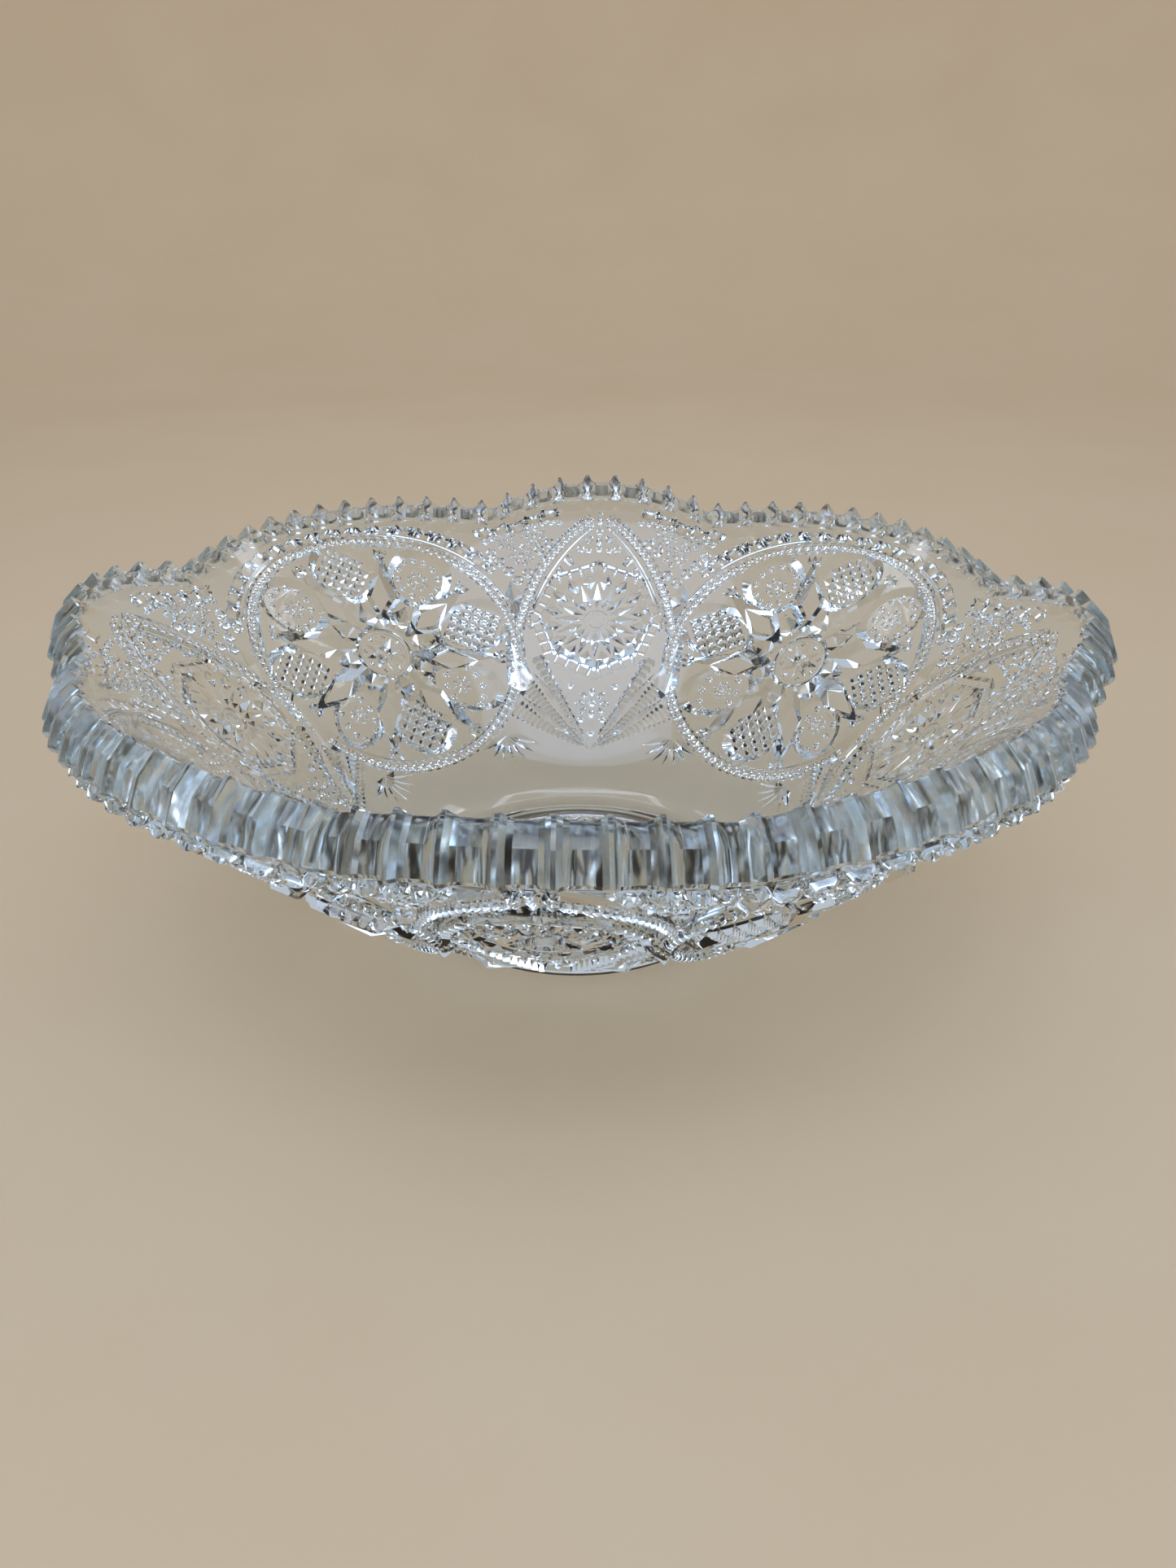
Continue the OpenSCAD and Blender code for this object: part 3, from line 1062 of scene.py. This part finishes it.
# ---------------------------------------------------------------------------------------------
# The pattern sheet
# ---------------------------------------------------------------------------------------------
@dataclass
class PatternSheet:
    """One eighth of the outside's pattern, stamped flat and then wrapped on the wall."""

    wall: Wall
    rows: int = 34
    spare_columns: int = 3
    sheet_depth: float = 2.4
    cut_tolerance: float = 1e-4
    # a stamp stays this far below the upper end, which is looked at this many degrees to both sides
    top_margin: float = 0.4
    top_span: float = 3.0
    # the slack in telling which stamps reach into the eighth, and which faces are the underside
    near_margin: float = 0.5
    under_margin: float = 0.01

    @property
    def columns(self) -> int:
        """Number of the sheet's columns in an eighth, which match the points of the bowl's rings."""
        return self.wall.ring_points // (2 * self.wall.lobe_pairs)

    def sheet_mesh(self) -> bpy.types.Mesh:
        """Builds the flat sheet as a thin closed slab, a little wider than an eighth.

        Returns:
            The slab's mesh.
        """
        step = self.wall.half_pair / self.columns
        azimuths = [step * i for i in range(-self.spare_columns, self.columns + self.spare_columns + 1)]
        verts, faces = [], []
        across, up = len(azimuths), self.rows + 1
        for z in (0.0, -self.sheet_depth):
            for azimuth in azimuths:
                top = float(self.wall.relief_top(np.array(azimuth)))
                for j in range(up):
                    x, y = turned(azimuth * self.wall.opening, (0, self.wall.start + top * j / self.rows))
                    verts.append((x, y, z))
        layer = across * up
        for i in range(across - 1):
            for j in range(up - 1):
                a = i * up + j
                quad = (a, a + up, a + up + 1, a + 1)
                faces.append(quad)
                faces.append(tuple(v + layer for v in reversed(quad)))
        rim = ([(i * up, (i + 1) * up) for i in range(across - 1)]
               + [((across - 1) * up + j, (across - 1) * up + j + 1) for j in range(up - 1)]
               + [((i + 1) * up + up - 1, i * up + up - 1) for i in range(across - 1)]
               + [(j + 1, j) for j in range(up - 1)])
        faces += [(b, a, a + layer, b + layer) for a, b in rim]
        return outward_mesh("flat_sheet", verts, faces)

    @staticmethod
    def points_mesh(stamps: list[Stamp]) -> bpy.types.Mesh:
        """Puts the stamps' places in a mesh of loose points with their sizes as attributes.

        Args:
            stamps: the stamps.

        Returns:
            The points.
        """
        order = {shape: i for i, shape in enumerate(sorted(Shape, key=lambda s: s.value))}
        mesh = bpy.data.meshes.new("stamp_points")
        mesh.from_pydata([(s.x, s.y, s.lift) for s in stamps], [], [])
        picks = mesh.attributes.new("pick", "INT", "POINT")
        picks.data.foreach_set("value", [order[s.shape] for s in stamps])
        turns = mesh.attributes.new("turn", "FLOAT_VECTOR", "POINT")
        turns.data.foreach_set("vector", [v for s in stamps for v in (0, 0, -math.radians(s.turn))])
        sizes = mesh.attributes.new("size", "FLOAT_VECTOR", "POINT")
        sizes.data.foreach_set("vector", [v for s in stamps for v in (s.width, s.length, s.height)])
        return mesh

    @staticmethod
    def fuse_tree() -> bpy.types.NodeTree:
        """Builds the tree that stamps the sheet and fuses everything into one skin.

        Returns:
            The node tree, with named inputs.
        """
        tree = bare_tree("stamp_and_fuse", Sheet="Object", Shapes="Collection", Bands="Collection",
                         Material="Material")
        given = add_node(tree, "NodeGroupInput")
        shapes = add_node(tree, "GeometryNodeCollectionInfo", {
            "Collection": given.outputs["Shapes"], "Separate Children": True, "Reset Children": True})
        bands = add_node(tree, "GeometryNodeCollectionInfo", {
            "Collection": given.outputs["Bands"], "Separate Children": True})
        sheet = add_node(tree, "GeometryNodeObjectInfo", {"Object": given.outputs["Sheet"]})
        pick = add_node(tree, "GeometryNodeInputNamedAttribute", {"Name": "pick"}, data_type="INT")
        turn = add_node(tree, "GeometryNodeInputNamedAttribute", {"Name": "turn"}, data_type="FLOAT_VECTOR")
        size = add_node(tree, "GeometryNodeInputNamedAttribute", {"Name": "size"}, data_type="FLOAT_VECTOR")
        stamped = add_node(tree, "GeometryNodeInstanceOnPoints", {
            "Points": given.outputs["Geometry"], "Instance": shapes.outputs[0], "Pick Instance": True,
            "Instance Index": pick.outputs[0], "Rotation": turn.outputs[0], "Scale": size.outputs[0]})
        fused = add_node(tree, "GeometryNodeMeshBoolean", {
            "Mesh 2": [sheet.outputs["Geometry"], stamped.outputs[0], bands.outputs[0]]},
            operation="UNION", solver="MANIFOLD")
        real = add_node(tree, "GeometryNodeRealizeInstances", {"Geometry": fused.outputs["Mesh"]})
        dressed = add_node(tree, "GeometryNodeSetMaterial", {
            "Geometry": real.outputs[0], "Material": given.outputs["Material"]})
        add_node(tree, "NodeGroupOutput", {"Geometry": dressed.outputs[0]})
        return tree

    def stamped_mesh(self, material: bpy.types.Material) -> bpy.types.Mesh:
        """Stamps and fuses the flat sheet.

        Args:
            material: the glass.

        Returns:
            The fused flat mesh.
        """
        stamps, bands = [], []
        for motif in (ArchPanel(self.wall), StarMedallion(self.wall)):
            more_stamps, more_bands = motif.layout()
            stamps += more_stamps
            bands += more_bands
        stamps = [self.inside(s) for s in stamps if self.near(s)]
        LOG.info("pattern sheet: %d stamps and %d bands", len(stamps), len(bands))
        shapes = self.group("stamp_shapes", [convex_mesh(s.value, unit_points(s)) for s in Shape])
        raised = self.group("stamp_bands", [band.mesh(f"band_{k}") for k, band in enumerate(bands)])
        sheet = place_object(self.sheet_mesh())
        mesh = run_tree(self.fuse_tree(), self.points_mesh(stamps), Sheet=sheet, Shapes=shapes,
                        Bands=raised, Material=material)
        for thing in [sheet, *shapes.objects, *raised.objects]:
            bpy.data.objects.remove(thing)
        for group in (shapes, raised):
            bpy.data.collections.remove(group)
        return mesh

    @staticmethod
    def group(name: str, meshes: list[bpy.types.Mesh]) -> bpy.types.Collection:
        """Puts meshes in a collection of their own.

        Args:
            name: the collection's name.
            meshes: the meshes.

        Returns:
            The collection.
        """
        collection = bpy.data.collections.new(name)
        bpy.context.scene.collection.children.link(collection)
        for mesh in meshes:
            place_object(mesh, collection)
        return collection

    def near(self, stamp: Stamp) -> bool:
        """Tells whether a stamp reaches into this eighth."""
        reach = math.hypot(stamp.width, stamp.length) / 2 + self.near_margin
        flat = self.wall.half_pair * self.wall.opening
        beyond = turned(-flat, (stamp.x, stamp.y))[0]
        return stamp.x > -reach and beyond < reach

    def inside(self, stamp: Stamp) -> Stamp:
        """Moves a stamp down the wall as far as it needs to stay below the sheet's upper end."""
        far = math.hypot(stamp.x, stamp.y)
        bearing = math.degrees(math.atan2(stamp.x, stamp.y))
        lean = math.radians(stamp.turn - bearing)
        reach = (abs(math.cos(lean)) * stamp.length + abs(math.sin(lean)) * stamp.width) / 2
        top = min(float(self.wall.relief_top(np.array(bearing / self.wall.opening + side)))
                  for side in (-self.top_span, 0, self.top_span))
        room = top - self.top_margin - reach - (far - self.wall.start)
        if room >= 0:
            return stamp
        x, y = turned(bearing, (0, far + room))
        return replace(stamp, x=x, y=y)

    def skin(self, material: bpy.types.Material) -> bmesh.types.BMesh:
        """Cuts the stamped sheet to one eighth, keeps its outside and wraps it on the wall.

        Args:
            material: the glass.

        Returns:
            The wrapped skin, open along its four edges.
        """
        mesh = self.stamped_mesh(material)
        bm = bmesh.new()
        bm.from_mesh(mesh)
        bpy.data.meshes.remove(mesh)
        flat = math.radians(self.wall.half_pair * self.wall.opening)
        for normal in (Vector((-1, 0, 0)), Vector((math.cos(flat), -math.sin(flat), 0))):
            geometry = bm.verts[:] + bm.edges[:] + bm.faces[:]
            bmesh.ops.bisect_plane(bm, geom=geometry, dist=self.cut_tolerance, plane_co=(0, 0, 0),
                                   plane_no=normal, clear_outer=True)
        low = -self.sheet_depth + self.under_margin
        hidden = [f for f in bm.faces if any(v.co.z < low for v in f.verts)]
        bmesh.ops.delete(bm, geom=hidden, context="FACES")
        loose = [v for v in bm.verts if not v.link_faces]
        bmesh.ops.delete(bm, geom=loose, context="VERTS")
        bmesh.ops.triangulate(bm, faces=bm.faces)
        points = np.array([v.co[:] for v in bm.verts])
        for vert, place in zip(bm.verts, self.wall.wrap(points)):
            vert.co = place
        return bm


# ---------------------------------------------------------------------------------------------
# Lip, inside, foot
# ---------------------------------------------------------------------------------------------
@dataclass
class SawtoothLip:
    """The thick toothed lip: round flutes cut straight through it leave pointed teeth between them."""

    wall: Wall
    # a flute: its depth, how square its bottom is, and half a tip's width as a part of the pitch
    notch: float = 3.4
    flute_power: int = 4
    tip_half: float = 0.045
    flute_steps: int = 9
    # the rounding of the inner and the outer edge, and how far its middle point is pulled in
    soft: float = 0.9
    outer_soft: float = 2.0
    soft_share: float = 0.3
    # how far a tip stands out sideways and upward, and where across the lip it is highest
    ridge: float = 0.8
    crown: float = 1.3
    crown_at: float = 0.45
    step: float = 0.7

    def stations(self) -> tuple[np.ndarray, np.ndarray]:
        """Lists the angles round the lip: two at every tip and the rest across each flute.

        Returns:
            Angles in degrees, and how deep the flute is at each.
        """
        pitch = 360 / self.wall.teeth
        across = np.linspace(-0.5 + self.tip_half, 0.5 - self.tip_half, self.flute_steps)
        hollow = 1 - (np.abs(across) / across[-1]) ** self.flute_power
        angles = (np.arange(self.wall.teeth)[:, None] + across) * pitch
        return angles.ravel(), np.tile(hollow * self.notch, self.wall.teeth)

    def rings(self) -> list[tuple[np.ndarray, np.ndarray]]:
        """Works out the rings of the lip, from the inside to the outside.

        Returns:
            For each ring, its angles and its points in metres.
        """
        wall = self.wall
        coarse = np.arange(wall.ring_points) * 360 / wall.ring_points
        fine, depth = self.stations()
        end = wall.edge(fine) - depth
        ridge = self.ridge * (1 - depth / self.notch)
        thick = wall.thickness(end, fine) + ridge
        start = wall.relief_top(coarse)
        near = wall.relief_top(fine) + self.step
        rings = [(coarse, wall.place(coarse, start, np.zeros_like(coarse))),
                 (fine, wall.place(fine, near, np.zeros_like(fine)))]
        for back, inward in self.rounding(self.soft):
            rings.append((fine, wall.place(fine, end - back, inward - ridge)))
        rings.append((fine, wall.place(fine, end + self.crown, thick * self.crown_at)))
        for back, inward in reversed(self.rounding(self.outer_soft)):
            rings.append((fine, wall.place(fine, end - back, thick - inward)))
        rings.append((fine, wall.place(fine, near, wall.thickness(near, fine))))
        rings.append((coarse, wall.place(coarse, start, wall.thickness(start, coarse))))
        return rings

    def rounding(self, soft: float) -> list[Point2]:
        """Lists the points of a rounded edge, from the side to the end: how far back and inward."""
        return [(soft, 0.0), (soft * self.soft_share, soft * self.soft_share), (0.0, soft)]

    def build(self, bm: bmesh.types.BMesh) -> None:
        """Adds the lip's faces.

        Args:
            bm: the bowl's mesh.
        """
        rings = [(angles, [bm.verts.new(p) for p in points]) for angles, points in self.rings()]
        satin = bm.verts.layers.float[SATIN]
        for _, loop in rings[3:-3]:
            for vert in loop:
                vert[satin] = 1.0
        for (_, near), (_, far) in zip(rings[1:-2], rings[2:-1]):
            for k in range(len(near)):
                n = (k + 1) % len(near)
                bm.faces.new((near[k], far[k], far[n], near[n]))
        zip_rings(bm, rings[0], rings[1])
        zip_rings(bm, rings[-2], rings[-1])


def zip_rings(bm: bmesh.types.BMesh, near: tuple[np.ndarray, list], far: tuple[np.ndarray, list]) -> None:
    """Joins two rings with different numbers of points by triangles.

    Args:
        bm: the mesh.
        near: one ring's angles, rising, in degrees, and its points.
        far: the other ring's.
    """
    (a, p), (b, q) = near, far
    i = j = 0
    while i < len(p) or j < len(q):
        next_a = a[(i + 1) % len(p)] + (360 if i + 1 >= len(p) else 0)
        next_b = b[(j + 1) % len(q)] + (360 if j + 1 >= len(q) else 0)
        if j >= len(q) or (i < len(p) and next_a <= next_b):
            bm.faces.new((p[i % len(p)], q[j % len(q)], p[(i + 1) % len(p)]))
            i += 1
        else:
            bm.faces.new((p[i % len(p)], q[j % len(q)], q[(j + 1) % len(q)]))
            j += 1


@dataclass
class Inside:
    """The smooth inside of the bowl, from its centre to the lip."""

    wall: Wall
    floor_rings: int = 5
    floor_sink: float = 0.9
    sunk_r: float = 47.0
    # the rounded step from the sunk floor up to the wall, as parts of its width and height
    foot_of_wall: float = 4.4
    floor_step: tuple[Point2, ...] = ((0.25, 0.1), (0.5, 0.45), (0.75, 0.85), (1.0, 1.0))
    wall_rings: int = 28

    def build(self, bm: bmesh.types.BMesh) -> None:
        """Adds the inside's faces.

        Args:
            bm: the bowl's mesh.
        """
        count = self.wall.ring_points
        angles = np.arange(count) * 360 / count
        a = np.radians(angles)
        low = self.wall.floor_z - self.floor_sink
        flat = [(self.sunk_r * k / self.floor_rings, low) for k in range(1, self.floor_rings + 1)]
        edge = tuple(self.wall.along(np.array([self.foot_of_wall]))[0][0])
        flat += [(self.sunk_r + (edge[0] - self.sunk_r) * f, low + (edge[1] - low) * rise)
                 for f, rise in self.floor_step]
        rings = [np.stack([radius * np.sin(a), radius * np.cos(a), np.full_like(a, z)], -1) * MM
                 for radius, z in flat]
        top = self.wall.relief_top(angles)
        for k in range(1, self.wall_rings + 1):
            up = self.foot_of_wall + (top - self.foot_of_wall) * k / self.wall_rings
            rings.append(self.wall.place(angles, up, np.zeros_like(angles)))
        loops = [[bm.verts.new(p) for p in ring] for ring in rings]
        centre = bm.verts.new((0, 0, low * MM))
        for k in range(count):
            n = (k + 1) % count
            bm.faces.new((centre, loops[0][n], loops[0][k]))
            for near, far in zip(loops, loops[1:]):
                bm.faces.new((near[k], near[n], far[n], far[k]))


@dataclass
class CollarFoot:
    """The low round foot: a resting ring with a rayed star in the recess under it."""

    wall: Wall
    foot_r: float = 46.5
    ring_width: float = 6.0
    recess: float = 2.5
    # the ring's two flanks: beyond its outer and its inner radius, and up from the table
    outer_flank: tuple[Point2, ...] = ((0.9, 5.2), (0.25, 3.2), (0.0, 1.2), (-0.35, 0.35), (-1.2, 0.0))
    inner_flank: tuple[Point2, ...] = ((1.2, 0.0), (0.3, 0.4), (-0.6, 2.1), (-1.6, 2.5))
    # the star: how far its rays stand down, and how deep and long the valleys between them are
    rays: int = 24
    ray_height: float = 1.3
    star_margin: float = 2.0
    valley_depth: float = 0.6
    valley_length: float = 0.72
    button_r: float = 7.0
    button_height: float = 0.78

    def build(self, bm: bmesh.types.BMesh) -> None:
        """Adds the foot's faces.

        Args:
            bm: the bowl's mesh.
        """
        count = self.wall.ring_points
        angles = np.arange(count) * 360 / count
        inner = self.foot_r - self.ring_width
        profile = [(self.foot_r + off, z) for off, z in self.outer_flank]
        profile += [(inner + off, z) for off, z in self.inner_flank]
        foot = np.zeros_like(angles)
        top = self.wall.place(angles, foot, self.wall.thickness(foot, angles))
        loops = [[bm.verts.new(p) for p in top]]
        for r, z in profile:
            loops.append([self.point(bm, r, angle, z) for angle in angles])
        for near, far in zip(loops, loops[1:]):
            for k in range(count):
                n = (k + 1) % count
                bm.faces.new((near[k], near[n], far[n], far[k]))
        self.star(bm, loops[-1], profile[-1][0])

    @staticmethod
    def point(bm: bmesh.types.BMesh, radius: float, angle: float, z: float) -> bmesh.types.BMVert:
        """Adds a point at a radius and height in millimetres, at degrees clockwise from +Y."""
        x, y = around((0, 0), (radius, radius), angle)
        return bm.verts.new((x * MM, y * MM, z * MM))

    def star(self, bm: bmesh.types.BMesh, border: list[bmesh.types.BMVert], border_r: float) -> None:
        """Fills the recess with a star of rays and valleys round a button.

        Args:
            bm: the bowl's mesh.
            border: the recess's outer ring of points.
            border_r: the radius of that ring.
        """
        tip_r, count = border_r - self.star_margin, 2 * self.rays
        outer, inner = [], []
        for k in range(count):
            ray = k % 2 == 0
            angle = 360 * k / count
            outer.append(self.point(bm, tip_r if ray else tip_r * self.valley_length, angle, self.recess))
            inner.append(self.point(bm, self.button_r, angle,
                                    self.recess + (-self.ray_height if ray else self.valley_depth)))
        centre = self.point(bm, 0, 0, self.recess - self.button_height)
        for k in range(count):
            n = (k + 1) % count
            bm.faces.new((outer[k], outer[n], inner[n], inner[k]))
            bm.faces.new((inner[k], inner[n], centre))
        edges = [bm.edges.get((loop[k - 1], loop[k])) for loop in (border, outer) for k in range(len(loop))]
        bmesh.ops.bridge_loops(bm, edges=edges)


# ---------------------------------------------------------------------------------------------
# The bowl
# ---------------------------------------------------------------------------------------------
@dataclass
class PunchBowl:
    """The whole bowl as one closed skin of glass."""

    wall: Wall = field(default_factory=Wall)
    finish: SodaLimeGlass = field(default_factory=SodaLimeGlass)
    weld: float = 2e-6
    crease: float = 22.0

    @staticmethod
    def round_tree() -> bpy.types.NodeTree:
        """Builds the tree that mirrors an eighth of the skin and repeats the pair round the bowl.

        Returns:
            The node tree, with named inputs.
        """
        tree = bare_tree("mirror_and_repeat", Pairs="Int", Turn="Float", Material="Material")
        given = add_node(tree, "NodeGroupInput")
        other = add_node(tree, "GeometryNodeTransform", {"Geometry": given.outputs["Geometry"],
                                                         "Scale": (-1.0, 1.0, 1.0)})
        # the mirror image comes out inside out
        turned_out = add_node(tree, "GeometryNodeFlipFaces", {"Mesh": other.outputs[0]})
        pair = add_node(tree, "GeometryNodeJoinGeometry", {
            "Geometry": [given.outputs["Geometry"], turned_out.outputs[0]]})
        points = add_node(tree, "GeometryNodePoints", {"Count": given.outputs["Pairs"]})
        index = add_node(tree, "GeometryNodeInputIndex")
        angle = add_node(tree, "ShaderNodeMath", {0: index.outputs[0], 1: given.outputs["Turn"]},
                         operation="MULTIPLY")
        spin = add_node(tree, "ShaderNodeCombineXYZ", {"Z": angle.outputs[0]})
        placed = add_node(tree, "GeometryNodeInstanceOnPoints", {
            "Points": points.outputs[0], "Instance": pair.outputs[0], "Rotation": spin.outputs[0]})
        real = add_node(tree, "GeometryNodeRealizeInstances", {"Geometry": placed.outputs[0]})
        dressed = add_node(tree, "GeometryNodeSetMaterial", {
            "Geometry": real.outputs[0], "Material": given.outputs["Material"]})
        add_node(tree, "NodeGroupOutput", {"Geometry": dressed.outputs[0]})
        return tree

    def pattern(self, glass: bpy.types.Material) -> bpy.types.Mesh:
        """Makes the whole outside pattern.

        Args:
            glass: its material.

        Returns:
            The pattern's mesh, all round the bowl.
        """
        skin = PatternSheet(self.wall).skin(glass)
        eighth = bpy.data.meshes.new("pattern_eighth")
        skin.to_mesh(eighth)
        skin.free()
        LOG.info("pattern: %d triangles in one eighth", len(eighth.polygons))
        return run_tree(self.round_tree(), eighth, Pairs=self.wall.lobe_pairs,
                        Turn=2 * math.pi / self.wall.lobe_pairs, Material=glass)

    def build(self) -> bpy.types.Object:
        """Builds the bowl and dresses it.

        Returns:
            The bowl's object.
        """
        glass = self.finish.material()
        bm = bmesh.new()
        bm.from_mesh(self.pattern(glass))
        bm.verts.layers.float.new(SATIN)
        Inside(self.wall).build(bm)
        SawtoothLip(self.wall).build(bm)
        CollarFoot(self.wall).build(bm)
        bmesh.ops.remove_doubles(bm, verts=bm.verts, dist=self.weld)
        bmesh.ops.dissolve_degenerate(bm, edges=bm.edges, dist=self.weld)
        bmesh.ops.triangulate(bm, faces=[f for f in bm.faces if len(f.verts) > 4])
        bmesh.ops.recalc_face_normals(bm, faces=bm.faces)
        open_edges = sum(1 for e in bm.edges if len(e.link_faces) != 2)
        triangles = sum(len(f.verts) - 2 for f in bm.faces)
        LOG.info("bowl: %d triangles, %d open edges, volume %.0f cm3", triangles, open_edges,
                 bm.calc_volume() * 1e6)
        mesh = bpy.data.meshes.new("pressed_glass_bowl")
        bm.to_mesh(mesh)
        bm.free()
        mesh.polygons.foreach_set("use_smooth", [True] * len(mesh.polygons))
        mesh.set_sharp_from_angle(angle=math.radians(self.crease))
        mesh.materials.clear()
        mesh.materials.append(glass)
        return place_object(mesh)


# ---------------------------------------------------------------------------------------------
# Studio
# ---------------------------------------------------------------------------------------------
@dataclass(frozen=True)
class Softbox:
    """A soft oblong light: its place, the point it faces and its sides, in metres."""

    name: str
    at: Point3
    toward: Point3
    sides: Point2
    watts: float
    colour: str

    def build(self) -> None:
        """Adds the light to the scene."""
        data = bpy.data.lights.new(self.name, "AREA")
        data.shape = "RECTANGLE"
        data.size, data.size_y = self.sides
        data.energy = self.watts
        data.color = linear(self.colour)[:3]
        light = place_object(data)
        light.location = self.at
        light.rotation_euler = (Vector(self.toward) - Vector(self.at)).to_track_quat("-Z", "Y").to_euler()


@dataclass
class Studio:
    """A pale round sweep, soft light from above and in front, and the camera."""

    flat_r: float = 0.95
    wall_r: float = 1.7
    wall_top: float = 0.8
    around: int = 96
    # three broad lights, and four narrow bars that put bright lines in the cut glass
    lights: tuple[Softbox, ...] = (
        Softbox("overhead", (0.0, -0.42, 1.0), (0.0, -0.42, 0.0), (1.0, 0.75), 5.0, "#B9D3FF"),
        Softbox("front_window", (0.0, -1.3, 0.75), (0.0, 0.0, 0.08), (1.4, 0.9), 5.6, "#CFE1FF"),
        Softbox("wall_wash", (0.0, 0.5, 1.1), (0.0, 1.7, 0.6), (1.8, 0.3), 6.0, "#DDE8FF"))
    bars: tuple[tuple[str, Point3], ...] = (
        ("front_bar", (0.0, -0.36, 0.62)), ("back_bar", (0.0, 0.42, 0.62)),
        ("left_bar", (-0.55, -0.05, 0.5)), ("right_bar", (0.55, -0.05, 0.5)))
    bar_toward: Point3 = (0.0, 0.0, 0.06)
    bar_sides: Point2 = (0.6, 0.05)
    bar_watts: float = 0.35
    bar_colour: str = "#E6F0FF"
    room_colour: str = "#E1EAF6"
    room_strength: float = 0.7
    bounces: int = 20
    lens: float = 30.36
    sensor: float = 36.0
    nearest: float = 0.01
    camera_at: Point3 = (0.0245, -0.3592, 0.2118)
    heading: float = 3.38
    pitch: float = 25.72

    def sweep(self) -> bpy.types.Object:
        """Builds the floor, which curves up into a wall all round.

        Returns:
            The sweep.
        """
        bend = self.wall_r - self.flat_r
        profile = [(0.0, 0.0), (0.35, 0.0), (self.flat_r, 0.0)]
        profile += [(self.flat_r + bend * math.sin(a), bend * (1 - math.cos(a)))
                    for a in (math.radians(d) for d in range(10, 91, 10))]
        profile.append((self.wall_r, self.wall_top))
        bm = bmesh.new()
        centre = bm.verts.new((0, 0, 0))
        loops = []
        for r, z in profile[1:]:
            loops.append([bm.verts.new((r * math.cos(2 * math.pi * k / self.around),
                                        r * math.sin(2 * math.pi * k / self.around), z))
                          for k in range(self.around)])
        for k in range(self.around):
            n = (k + 1) % self.around
            bm.faces.new((centre, loops[0][k], loops[0][n]))
            for near, far in zip(loops, loops[1:]):
                bm.faces.new((near[k], far[k], far[n], near[n]))
        mesh = bpy.data.meshes.new("paper_sweep")
        bm.to_mesh(mesh)
        bm.free()
        mesh.polygons.foreach_set("use_smooth", [True] * len(mesh.polygons))
        mesh.materials.append(MattPaper().material())
        return place_object(mesh)

    def room(self) -> bpy.types.World:
        """Makes the even light of the room.

        Returns:
            The world.
        """
        world = bpy.data.worlds.new("room")
        world.use_nodes = True
        background = world.node_tree.nodes["Background"]
        background.inputs["Color"].default_value = linear(self.room_colour)
        background.inputs["Strength"].default_value = self.room_strength
        return world

    def camera(self) -> bpy.types.Object:
        """Makes the camera and aims it.

        Returns:
            The camera.
        """
        data = bpy.data.cameras.new("camera")
        data.lens = self.lens
        data.sensor_width = self.sensor
        data.clip_start = self.nearest
        camera = place_object(data)
        camera.location = self.camera_at
        camera.rotation_euler = (math.radians(90 - self.pitch), 0, math.radians(self.heading))
        return camera

    def build(self) -> None:
        """Builds the sweep, the lights, the world and the camera."""
        self.sweep()
        for light in self.lights:
            light.build()
        for name, at in self.bars:
            Softbox(name, at, self.bar_toward, self.bar_sides, self.bar_watts, self.bar_colour).build()
        scene = bpy.context.scene
        scene.world = self.room()
        scene.camera = self.camera()
        scene.view_settings.view_transform = "Standard"
        # light has to get through many layers of cut glass
        scene.cycles.max_bounces = self.bounces
        scene.cycles.transmission_bounces = self.bounces


def main() -> None:
    """Builds every piece in order and logs the bowl's triangle count and volume."""
    logging.basicConfig(level=logging.INFO, format="%(name)s: %(message)s")
    Studio().build()
    bowl = PunchBowl().build()
    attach(bowl, "root")
    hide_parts(*sorted(frame["nodes"]))
    LOG.info("placed %s", bowl.name)


if __name__ == "__main__":
    main()
